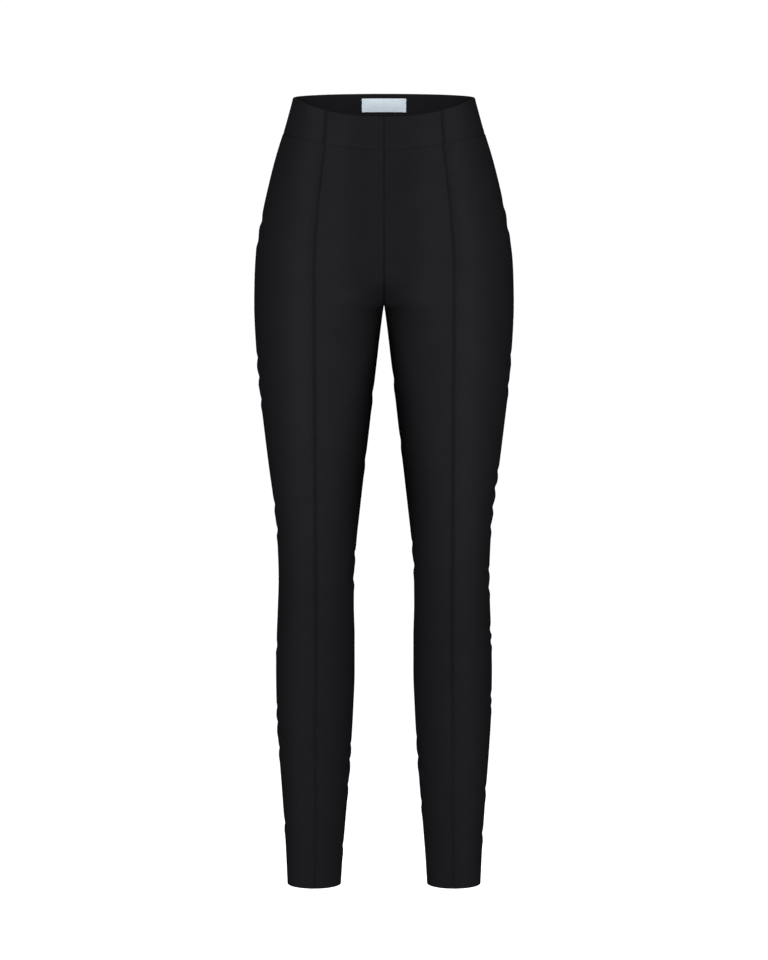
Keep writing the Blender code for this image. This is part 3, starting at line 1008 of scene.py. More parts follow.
@dataclass(frozen=True)
class ThreadFinish(Finish):
    """A matt spun thread."""

    roughness: float = 0.9
    fuzz_scale: float = 2600.0

    def make(self) -> bpy.types.Material:
        """Make the thread's material.

        Returns:
            The material.
        """
        graph = Graph(self.name)
        spun = graph.noise(self.fuzz_scale)
        return self.cover(graph, graph.mix_colours(spun, self.dark, self.light), spun)


def opaque(red: float, green: float, blue: float) -> tuple:
    """Return a colour that lets nothing through."""
    return (red, green, blue, 1.0)


LEG_KNIT = KnitFinish(
    "leg_knit", "leg_knit", opaque(0.0050, 0.0049, 0.0055), opaque(0.0089, 0.0085, 0.0097)
)
BAND_KNIT = KnitFinish(
    "band_knit", "band_knit", opaque(0.0051, 0.0050, 0.0056), opaque(0.0092, 0.0087, 0.0101)
)
LABEL_WEAVE = WovenFinish(
    "label_weave", "label_weave", opaque(0.35, 0.40, 0.44), opaque(0.45, 0.505, 0.55)
)
BLACK_THREAD = ThreadFinish(
    "black_thread", "leg_knit", opaque(0.0048, 0.0046, 0.0052), opaque(0.0076, 0.0073, 0.0082)
)
PALE_THREAD = ThreadFinish(
    "pale_thread", "label_weave", opaque(0.28, 0.33, 0.36), opaque(0.36, 0.40, 0.43)
)


class Wardrobe:
    """The finishes, each made into a material once."""

    def __init__(self) -> None:
        """Start with no material made."""
        self.made: dict = {}

    def dress(self, thing: bpy.types.Object, finish: Finish) -> None:
        """Give an object a finish, making its material once.

        Args:
            thing: the object.
            finish: its finish.
        """
        if finish.name not in self.made:
            self.made[finish.name] = finish.make()
        thing.data.materials.append(self.made[finish.name])


# ---------------------------------------------------------------- making cloth


@dataclass
class Wall:
    """The two faces of a piece of cloth, as grids of points, its flat pattern and its painted
    light and shade.
    """

    outer: np.ndarray
    inner: np.ndarray
    flat: np.ndarray
    tone: Optional[np.ndarray] = None


class ClothMaker:
    """Turns grids of points into closed walls of cloth."""

    sharp_angle: float = math.radians(58.0)

    def add(self, shape: bmesh.types.BMesh, wall: Wall) -> None:
        """Add a wall to a bmesh: a grid for its outer face, extruded to its inner face.

        Args:
            shape: the bmesh.
            wall: the wall's two faces and flat pattern.
        """
        rows, columns = wall.outer.shape[:2]
        patterns = shape.loops.layers.uv
        pattern = patterns.get(UV_NAME) or patterns.new(UV_NAME)
        shading_layers = shape.verts.layers.float
        tone = shading_layers.get(PAINTED_SHADING_NAME) or shading_layers.new(PAINTED_SHADING_NAME)
        before = set(shape.faces)
        grid = bmesh.ops.create_grid(shape, x_segments=columns - 1, y_segments=rows - 1, size=0.5)
        outer_face = grid["verts"]
        faces = [face for face in shape.faces if face not in before]
        extruded = bmesh.ops.extrude_face_region(shape, geom=faces, use_keep_orig=True)
        inner_face = [item for item in extruded["geom"] if isinstance(item, bmesh.types.BMVert)]
        cells = {}
        # Painted light and shade: the outer face takes the panel's painted shading, or a plain
        # level where it has none.
        outer_painted_shading = np.full((rows, columns), PLAIN_SHADING_LEVEL) if wall.tone is None else wall.tone
        # Painted light: the inner face is lighter than the outer face's plain level.
        inner_painted_light = np.full((rows, columns), INSIDE_PAINTED_LIGHT)
        both = ((outer_face, wall.outer, outer_painted_shading), (inner_face, wall.inner, inner_painted_light))
        for vertices, points, shades in both:
            for vertex in vertices:
                column = round((vertex.co.x + 0.5) * (columns - 1))
                row = round((vertex.co.y + 0.5) * (rows - 1))
                vertex.co = points[row, column]
                vertex[tone] = shades[row, column]
                cells[vertex] = wall.flat[row, column]
        made = [face for face in shape.faces if face not in before]
        for loop in (loop for face in made for loop in face.loops):
            loop[pattern].uv = cells[loop.vert]
        bmesh.ops.recalc_face_normals(shape, faces=made)
        if self._volume(made) < 0.0:
            bmesh.ops.reverse_faces(shape, faces=made)

    @staticmethod
    def _volume(faces: Sequence[bmesh.types.BMFace]) -> float:
        """Measure the inside of some closed faces.

        Args:
            faces: the faces.

        Returns:
            The volume, which is negative where the faces look inwards.
        """
        total = 0.0
        for face in faces:
            corners = [loop.vert.co for loop in face.loops]
            for second, third in zip(corners[1:], corners[2:]):
                total += corners[0].dot(second.cross(third))
        return total / 6.0

    def finish(self, name: str, shape: bmesh.types.BMesh) -> bpy.types.Object:
        """Make a bmesh a smooth object of the scene, riding on the root body.

        Args:
            name: the object's name.
            shape: the bmesh, which is freed.

        Returns:
            The object.
        """
        for face in shape.faces:
            face.smooth = True
        mesh = bpy.data.meshes.new(name)
        shape.to_mesh(mesh)
        shape.free()
        mesh.set_sharp_from_angle(angle=self.sharp_angle)
        thing = bpy.data.objects.new(name, mesh)
        bpy.context.scene.collection.objects.link(thing)
        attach(thing, ROOT)
        triangles = sum(len(face.vertices) - 2 for face in mesh.polygons)
        LOG.info("%s: %d triangles", name, triangles)
        return thing

    def piece(self, name: str, walls: Sequence[Wall]) -> bpy.types.Object:
        """Make an object of one or more walls.

        Args:
            name: the object's name.
            walls: the walls.

        Returns:
            The object.
        """
        shape = bmesh.new()
        for wall in walls:
            self.add(shape, wall)
        return self.finish(name, shape)


@dataclass(frozen=True)
class PaintedShading:
    """Painted light and shade in the cloth's colour, as shares by which places are darker or
    lighter.

    Painted shade darkens the centre front, the inner thighs, the tuck's line and the lower legs;
    painted light lightens the fork and a strip outside the tuck, a painted sheen. What is named
    centre_foot, centre_full, fork_place, inside_full, inside_top, growth_foot and growth_top is a
    height above the fork.
    """

    centre_share: float = 0.20
    centre_from: float = 0.026
    centre_to: float = 0.062
    centre_foot: float = 0.006
    centre_full: float = 0.032
    inside_share: float = 0.66
    inside_reach: float = 0.062
    inside_growth: float = 0.033
    growth_foot: float = -0.120
    growth_top: float = -0.030
    fork_lift: float = 0.50
    fork_place: float = -0.004
    fork_height: float = 0.020
    fork_reach: float = 0.095
    inside_foot: float = -0.60
    inside_fade: float = 0.15
    inside_full: float = -0.040
    inside_top: float = -0.008
    outer_share: float = 0.17
    outer_place: float = 0.020
    outer_width: float = 0.019
    line_share: float = 0.24
    line_place: float = -0.0010
    line_reach: float = 0.0048
    line_foot: float = -0.80
    line_fade: float = 0.20
    line_low: float = 0.25
    low_share: float = 0.10
    low_from: float = -0.63
    low_to: float = -0.48

    def at(self, samples: Samples, crotch: float) -> np.ndarray:
        """Work out the painted light and shade of a panel.

        Args:
            samples: points of the surface.
            crotch: the height of the fork.

        Returns:
            A share of the finish's colour for each point.
        """
        height = samples.height
        start_gap = samples.distance - samples.start
        # Painted light: the cloth is lightened around the fork, towards the middle.
        at_fork = bell(height - crotch, self.fork_place, self.fork_height)
        lift = self.fork_lift * at_fork * (1.0 - step_up(start_gap, 0.0, self.fork_reach))
        # Painted shade: the inner thighs are darkened near the inside-leg seam, where the legs
        # shade each other.
        on_thigh = step_up(height, self.inside_foot, self.inside_foot + self.inside_fade)
        past_thigh = step_up(height, crotch + self.inside_full, crotch + self.inside_top)
        narrowed = step_up(height, crotch + self.growth_foot, crotch + self.growth_top)
        reach = self.inside_reach + self.inside_growth * (1.0 - narrowed)
        inwards = 1.0 - step_up(start_gap, 0.0, reach)
        inside = self.inside_share * (on_thigh * (1.0 - past_thigh)) * inwards
        # Painted shade: the lower legs are darkened below the knee.
        low = self.low_share * (1.0 - step_up(height, self.low_from, self.low_to))
        tone = PLAIN_SHADING_LEVEL * (1.0 - inside) * (1.0 - low) * (1.0 + lift)
        if samples.half is Half.FRONT:
            aside = samples.distance - samples.line
            # Painted shade: the centre front is darkened above the fork.
            over_fork = step_up(height, crotch + self.centre_foot, crotch + self.centre_full)
            from_centre = step_up(start_gap, self.centre_from, self.centre_to)
            centre = self.centre_share * over_fork * (1.0 - from_centre)
            # Painted highlight: a soft lighter strip just outside each tuck, a painted sheen.
            painted_sheen = self.outer_share * bell(aside, self.outer_place, self.outer_width)
            # Painted shade: a darker band along the tuck's line, fading towards the hem.
            near = np.clip(1.0 - np.abs(aside - self.line_place) / self.line_reach, 0.0, 1.0)
            up_leg = np.clip((height - self.line_foot) / self.line_fade, 0.0, 1.0)
            line = self.line_share * near * (self.line_low + (1.0 - self.line_low) * up_leg)
            tone = tone * (1.0 - centre) * (1.0 + painted_sheen) * (1.0 - line)
        return np.minimum(tone, 1.0)


PAINTED_SHADING = PaintedShading()


def both_halves(points: np.ndarray) -> np.ndarray:
    """Return a left half with its mirror image, joined at its first column."""
    points[:, 0, 0] = 0.0
    return np.concatenate((points[:, :0:-1] * (-1.0, 1.0, 1.0), points), axis=1)


def whole_pattern(samples: Samples) -> np.ndarray:
    """Return the flat pattern of a left half with its mirror image."""
    flat = np.stack((samples.distance, samples.height), axis=2)
    return np.concatenate((flat[:, :0:-1] * (-1.0, 1.0), flat), axis=1)


@dataclass
class Tailor:
    """What all that make pieces work with: the form, the maker of cloth and the finishes."""

    figure: Figure
    maker: ClothMaker
    wardrobe: Wardrobe


@dataclass
class Legs(Tailor):
    """The four leg panels, each cut from the waist seam to the hem."""

    cloth: float = 0.0015
    turned_hem: float = 0.0013
    hem_depth: float = 0.0210
    seam_roll_reach: float = 0.0021
    seam_roll_depth: float = 0.00125
    pucker: float = 0.22
    pucker_rate: float = 820.0
    pucker_beat: float = 97.0
    pucker_start: float = 0.7
    fork_point: float = 0.001
    fork_reach: float = 0.014
    closed_point: float = 0.0006
    closed_reach: float = 0.0035
    waist_step_reach: float = 0.0032
    waist_step_depth: float = 0.0006
    imprint: float = 0.00018
    imprint_edge: float = 0.0055
    imprint_fade: float = 0.002
    hem_round: float = 0.0013
    hem_edge_above: float = 0.0002
    hem_edge_below: float = 0.0004
    tuck_wavers: tuple = ((0.00022, 143.0, 0.0), (0.00014, 391.0, 1.3))
    tuck_foot: float = -0.0006
    tuck_crest: float = 0.0018
    tuck_reach: float = 0.0070
    tuck_rise: float = 0.00055
    tuck_groove: float = 0.00125
    groove_place: float = -0.0012
    groove_width: float = 0.0016
    tuck_stitch_place: float = 0.0012
    inner_columns: int = 34
    outer_columns: int = 34
    back_columns: int = 68
    hip_length: float = 0.10
    leg_length: float = 0.92
    hip_step: float = 0.10
    fork_step: float = 0.14
    leg_step: float = 0.11
    hem_offsets: tuple = (0.0, 0.0002, 0.0005, 0.0009, 0.0014, 0.0022)
    fold_offsets: tuple = (0.0200, 0.0207, 0.0211, 0.0215, 0.0222)
    tuck_offsets: tuple = (
        -0.0050, -0.0038, -0.0030, -0.0024, -0.0019, -0.0015, -0.0012, -0.0009,
        -0.0005, 0.0000, 0.0006, 0.0013, 0.0021, 0.0030, 0.0041, 0.0054,
    )  # fmt: skip
    front_flat: tuple = (0.240, 0.928)
    front_area: float = 0.1746
    back_flat: tuple = (0.245, 0.930)
    back_area: float = 0.1775

    def rows(self) -> list:
        """Space the rows, close together at the waist seam, the hem's turned edge and the hem.

        Returns:
            The row numbers.
        """
        figure = self.figure
        hip_metre = figure.hip_rows / self.hip_length
        leg_metre = figure.leg_rows / self.leg_length
        top = [offset * hip_metre for offset in RIM_OFFSETS]
        bottom = [figure.total_rows - offset * leg_metre for offset in reversed(self.hem_offsets)]
        fold = [figure.total_rows - offset * leg_metre for offset in reversed(self.fold_offsets)]
        fork_foot = figure.hip_rows + figure.fork_rows
        spans = (
            (top[-1] + self.hip_step, figure.hip_rows, self.hip_step),
            (figure.hip_rows, fork_foot, self.fork_step),
            (fork_foot, fold[0], self.leg_step),
            (fold[-1] + self.leg_step, bottom[0], self.leg_step),
        )
        hip, fork, upper, lower = (np.arange(a, b - 0.5 * step, step) for a, b, step in spans)
        return [*top, *hip, *fork, *upper, *fold, *lower, *bottom]

    def creases(self, samples: Samples, side: Side) -> np.ndarray:
        """Add up the creases of one leg.

        Args:
            samples: points of the surface.
            side: the wearer's side.

        Returns:
            How far the creases lift each point.
        """
        towards_front = 1.0 if samples.half is Half.FRONT else -1.0
        around = {
            Seam.OUTSEAM: towards_front * (samples.end - samples.distance),
            Seam.INSEAM: towards_front * (samples.distance - samples.start),
        }
        total = np.zeros_like(samples.height)
        for crease in CREASES[side]:
            total = total + crease.relief(around[crease.seam], samples.height)
        return total

    def tuck(self, samples: Samples) -> np.ndarray:
        """Raise the stitched tuck, whose fold lies towards the side seam.

        Args:
            samples: points of the surface.

        Returns:
            How far the tuck lifts each point.
        """
        waves = (
            size * np.sin(samples.height * rate + start) for size, rate, start in self.tuck_wavers
        )
        across = samples.distance - samples.line - sum(waves)
        fallen = step_up(across, self.tuck_crest, self.tuck_reach)
        fold = step_up(across, self.tuck_foot, self.tuck_crest) * (1.0 - fallen)
        groove = bell(across, self.groove_place, self.groove_width)
        return self.tuck_rise * fold - self.tuck_groove * groove

    def wall(self, samples: Samples, side: Side) -> Wall:
        """Give a panel its thickness, rolled edges, hem, tuck and creases.

        Args:
            samples: points of the surface.
            side: the wearer's side.

        Returns:
            The wall.
        """
        figure = self.figure
        share = (samples.distance - samples.start) / (samples.end - samples.start)
        top_gap = figure.waist_seam(samples.half, share) - 0.5 * figure.waist_gap - samples.height
        hem_gap = samples.height - figure.hem_height
        start_gap = samples.distance - samples.start
        end_gap = samples.end - samples.distance
        beat = np.sin(samples.height * self.pucker_beat + self.pucker_start)
        pucker = 1.0 + self.pucker * np.sin(samples.height * self.pucker_rate) * beat
        from_fork = np.abs(samples.height - figure.crotch_height)
        past_fork = step_up(from_fork, self.fork_point, self.fork_reach)
        start_roll = rolled(start_gap, self.seam_roll_reach, self.seam_roll_depth) * past_fork
        end_roll = rolled(end_gap, self.seam_roll_reach, self.seam_roll_depth)
        sunk = np.maximum(
            np.maximum(start_roll, end_roll) * pucker,
            self.waist_step_depth * (1.0 - step_up(top_gap, 0.0, self.waist_step_reach)),
        )
        side_gap = np.minimum(start_gap, end_gap)
        imprint_end = self.imprint_edge + self.imprint_fade
        sunk = sunk - self.imprint * (1.0 - step_up(side_gap, self.imprint_edge, imprint_end))
        relief = self.creases(samples, side)
        outer_lift = relief - sunk - rounded(hem_gap, self.hem_round)
        if samples.half is Half.FRONT:
            outer_lift = outer_lift + self.tuck(samples)
        edge = (self.hem_depth - self.hem_edge_below, self.hem_depth + self.hem_edge_above)
        thickness = self.cloth + self.turned_hem * (1.0 - step_up(hem_gap, *edge))
        inner_lift = relief - thickness + rounded(hem_gap, self.hem_round)
        middle = samples.distance if samples.half is Half.BACK else samples.distance - samples.line
        flat = np.stack((middle, samples.height), axis=2)
        faces = [self.place(samples, lift, side) for lift in (outer_lift, inner_lift)]
        # The outer face gets painted light and shade.
        return Wall(*faces, flat, PAINTED_SHADING.at(samples, figure.crotch_height))

    def place(self, samples: Samples, lift: np.ndarray, side: Side) -> np.ndarray:
        """Lift points off the surface, clear of the middle, where only the fork is sewn shut.

        Args:
            samples: points of the surface.
            lift: how far each is lifted.
            side: the wearer's side.

        Returns:
            The points.
        """
        from_fork = np.abs(samples.height - self.figure.crotch_height)
        gap = self.figure.half_gap * step_up(from_fork, self.closed_point, self.closed_reach)
        points = samples.lifted(lift)
        points[..., 0] = np.maximum(points[..., 0] - self.figure.half_gap + gap, gap) * side.value
        return points

    def panel_columns(self, half: Half) -> list:
        """Space the columns, close together at a panel's seams and at a front panel's tuck.

        Args:
            half: the front or the back.

        Returns:
            The columns.
        """
        start_rim = rim_columns(RIM_OFFSETS + IMPRINT_OFFSETS, at_end=False)
        end_rim = rim_columns(RIM_OFFSETS + IMPRINT_OFFSETS, at_end=True)
        if half is Half.BACK:
            return filled(start_rim, self.back_columns, end_rim)
        offsets = (-self.tuck_reach, *self.tuck_offsets, self.tuck_reach)
        tuck = [from_line(offset) for offset in offsets]
        return filled(filled(start_rim, self.inner_columns, tuck), self.outer_columns, end_rim)

    def build(self) -> None:
        rows = self.rows()
        plans = (
            (Half.FRONT, "front_leg", self.front_flat, self.front_area),
            (Half.BACK, "back_leg", self.back_flat, self.back_area),
        )
        for half, name, flat, area in plans:
            height_of = partial(self.figure.leg_height, half)
            samples = self.figure.sample(half, self.panel_columns(half), rows, height_of)
            for side in Side:
                suffix = side.name.lower()
                node = f"{name}_{suffix}"
                panel = self.maker.piece(f"{node}_cloth", [self.wall(samples, side)])
                self.wardrobe.dress(panel, LEG_KNIT)
                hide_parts(node)


@dataclass
class Waistband(Tailor):
    """The five pieces of the waistband, with a folded top edge."""

    cloth: float = 0.0024
    seam_roll_reach: float = 0.0026
    seam_roll_depth: float = 0.0010
    foot_roll_reach: float = 0.0010
    foot_roll_depth: float = 0.00020
    top_round: float = 0.00118
    ease: float = 0.00022
    ease_rate_across: float = 118.0
    ease_rate_down: float = 60.0
    ease_start: float = 0.4
    stitch_line: float = 0.0030
    stitch_groove: float = 0.00070
    stitch_width: float = 0.0005
    piping: float = 0.00045
    piping_place: float = -0.0016
    piping_width: float = 0.0008
    front_flat: tuple = (0.080, 0.045)
    side_flat: tuple = (0.106, 0.046)
    filled_share: float = 0.88
    back_flat: tuple = (0.340, 0.044)
    back_area: float = 0.0145
    line_offsets: tuple = (
        0.0, 0.0003, 0.0007, 0.0011, 0.0016, 0.0021,
        0.0025, 0.0028, 0.0031, 0.0035, 0.0040, 0.0047,
    )  # fmt: skip
    inner_columns: int = 26
    outer_columns: int = 30
    back_columns: int = 60
    rows: tuple = (
        0.000, 0.004, 0.012, 0.024, 0.040, 0.065, 0.110, 0.180, 0.270, 0.370, 0.470,
        0.570, 0.670, 0.760, 0.840, 0.895, 0.930, 0.955, 0.975, 0.990, 1.000,
    )  # fmt: skip

    def front_height(self, row: np.ndarray, share: np.ndarray) -> np.ndarray:
        """Find the height at a share of the way down the front or side of the band.

        Args:
            row: the share of the way down.
            share: the share of the way to the side seam.

        Returns:
            The height.
        """
        top = self.figure.band_top(Half.FRONT, share)
        foot = self.figure.waist_seam(Half.FRONT, share) + 0.5 * self.figure.waist_gap
        return top + (foot - top) * row

    def back_height(self, row: np.ndarray, share: np.ndarray) -> np.ndarray:
        """Return the height at a share of the way down the back of the band."""
        return (0.5 * self.figure.waist_gap - self.figure.band_depth) * row + 0.0 * share

    def lifts(
        self, samples: Samples, gaps: Sequence[np.ndarray], groove_at: Optional[np.ndarray]
    ) -> tuple:
        """Work out how far the two faces of a piece of the band are lifted.

        Args:
            samples: points of the surface.
            gaps: how far each point lies from each vertical seam.
            groove_at: how far each point lies from a stitched line, if there is one.

        Returns:
            The lifts of the outer and of the inner face.
        """
        share = (samples.distance - samples.start) / (samples.end - samples.start)
        figure = self.figure
        top_gap = figure.band_top(samples.half, share) - samples.height
        foot_gap = samples.height - figure.waist_seam(samples.half, share) - 0.5 * figure.waist_gap
        side_gap = np.minimum.reduce(gaps)
        sunk = np.maximum(
            rolled(side_gap, self.seam_roll_reach, self.seam_roll_depth),
            rolled(foot_gap, self.foot_roll_reach, self.foot_roll_depth),
        )
        roundness = rounded(top_gap, self.top_round)
        ease = self.ease * np.sin(samples.distance * self.ease_rate_across)
        ease = ease * np.sin(samples.height * self.ease_rate_down + self.ease_start)
        outer = ease - sunk - roundness
        if groove_at is not None:
            outer = outer - self.stitch_groove * bell(groove_at, 0.0, self.stitch_width)
            outer = outer + self.piping * bell(groove_at, self.piping_place, self.piping_width)
        inner = ease - self.cloth + roundness
        return outer, inner

    def build_front(self) -> None:
        gap = self.figure.half_gap
        start_rim = rim_columns(RIM_OFFSETS, at_end=False)
        end_rim = rim_columns(RIM_OFFSETS, at_end=True)
        to_line = [from_line(-gap - offset) for offset in reversed(RIM_OFFSETS)]
        past_line = [from_line(gap + offset) for offset in self.line_offsets]
        front = filled(start_rim, self.inner_columns, to_line)
        side_part = filled(past_line, self.outer_columns, end_rim)
        plans = (
            ("waistband_front", front, self.front_flat),
            ("waistband_side", side_part, self.side_flat),
        )
        for name, columns, flat in plans:
            samples = self.figure.sample(Half.FRONT, columns, self.rows, self.front_height)
            line_gap = np.abs(samples.distance - samples.line) - gap
            if columns is front:
                gaps = [samples.distance - samples.start, line_gap]
                groove_at = None
            else:
                gaps = [line_gap, samples.end - samples.distance]
                groove_at = samples.distance - samples.line - self.stitch_line
            lifts = self.lifts(samples, gaps, groove_at)
            pattern = np.stack((samples.distance - samples.line, samples.height), axis=2)
            # Painted light and shade on the front and side pieces of the band.
            tone = PAINTED_SHADING.at(samples, self.figure.crotch_height)
            for side in Side:
                faces = [self.place(samples, lift, side) for lift in lifts]
                node = f"{name}_{side.name.lower()}"
                panel = self.maker.piece(f"{node}_cloth", [Wall(*faces, pattern, tone)])
                self.wardrobe.dress(panel, BAND_KNIT)
                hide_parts(node)
                area = self.filled_share * flat[0] * flat[1]

    def place(self, samples: Samples, lift: np.ndarray, side: Side) -> np.ndarray:
        """Lift points off the surface, clear of the middle.

        Args:
            samples: points of the surface.
            lift: how far each is lifted.
            side: the wearer's side.

        Returns:
            The points.
        """
        points = samples.lifted(lift)
        points[..., 0] = np.maximum(points[..., 0], self.figure.half_gap) * side.value
        return points

    def build_back(self) -> None:
        end_rim = rim_columns(RIM_OFFSETS, at_end=True)
        columns = filled([from_start(0.0)], self.back_columns // 2, end_rim)
        samples = self.figure.sample(Half.BACK, columns, self.rows, self.back_height)
        lifts = self.lifts(samples, [samples.end - samples.distance], None)
        faces = [both_halves(self.place(samples, lift, Side.LEFT)) for lift in lifts]
        panel = self.maker.piece("waistband_back_cloth", [Wall(*faces, whole_pattern(samples))])
        self.wardrobe.dress(panel, BAND_KNIT)
        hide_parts("waistband_back")

    def build(self) -> None:
        """Build the whole waistband."""
        self.build_front()
        self.build_back()


@dataclass
class SewnLabel(Tailor):
    """The bare woven label inside the back of the waistband, with folded ends."""

    half_width: float = 0.0274
    top: float = -0.0055
    bottom: float = -0.0223
    back_of_it: float = 0.00275
    weave: float = 0.00055
    folded_end: float = 0.0042
    fold_edge: float = 0.0004
    fold_rise: float = 0.45
    bulge: float = 0.00035
    bulge_reach: float = 0.014
    edge_round: float = 0.00025
    edge_offsets: tuple = (0.0, 0.00008, 0.00018, 0.0003)
    fold_offsets: tuple = (-0.0002, 0.0, 0.0002, 0.0004)
    columns: int = 44
    end_columns: int = 6
    rows: int = 16
    row_margin: float = 0.03

    @property
    def depth(self) -> float:
        """Return how tall the label is."""
        return self.top - self.bottom

    def height(self, row: np.ndarray, share: np.ndarray) -> np.ndarray:
        """Return the height at a share of the way down the label."""
        return self.top - self.depth * row + 0.0 * share

    def lifts(self, samples: Samples) -> tuple:
        """Work out how far the label's two faces are lifted.

        Args:
            samples: points of the surface.

        Returns:
            The lifts of the face against the band and of the face that shows.
        """
        end_gap = self.half_width - samples.distance
        folded = 1.0 - step_up(end_gap, self.folded_end - self.fold_edge, self.folded_end)
        thickness = self.weave * (1.0 + self.fold_rise * folded)
        across = (samples.height - 0.5 * (self.top + self.bottom)) / self.depth
        swell = self.bulge * np.cos(math.pi * np.clip(across, -0.5, 0.5))
        swell = swell * step_up(end_gap, 0.0, self.bulge_reach)
        edge_gaps = (end_gap, self.top - samples.height, samples.height - self.bottom)
        soft = rounded(np.minimum.reduce(edge_gaps), self.edge_round)
        against_band = -self.back_of_it - soft - 0.5 * swell
        return against_band, -self.back_of_it - thickness - swell + soft

    def build(self) -> None:
        ends = [from_start(self.half_width - offset) for offset in reversed(self.edge_offsets)]
        fold_at = self.half_width - self.folded_end
        fold = [from_start(fold_at + offset) for offset in self.fold_offsets]
        inner = filled([from_start(0.0)], self.columns // 2, fold)
        tops = [offset / self.depth for offset in self.edge_offsets]
        middle = np.linspace(self.row_margin, 1.0 - self.row_margin, self.rows)
        rows = [*tops, *middle, *[1.0 - value for value in reversed(tops)]]
        columns = filled(inner, self.end_columns, ends)
        samples = self.figure.sample(Half.BACK, columns, rows, self.height)
        faces = [both_halves(samples.lifted(lift)) for lift in self.lifts(samples)]
        label = self.maker.piece("label_weave_piece", [Wall(*faces, whole_pattern(samples))])
        self.wardrobe.dress(label, LABEL_WEAVE)
        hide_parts("label")


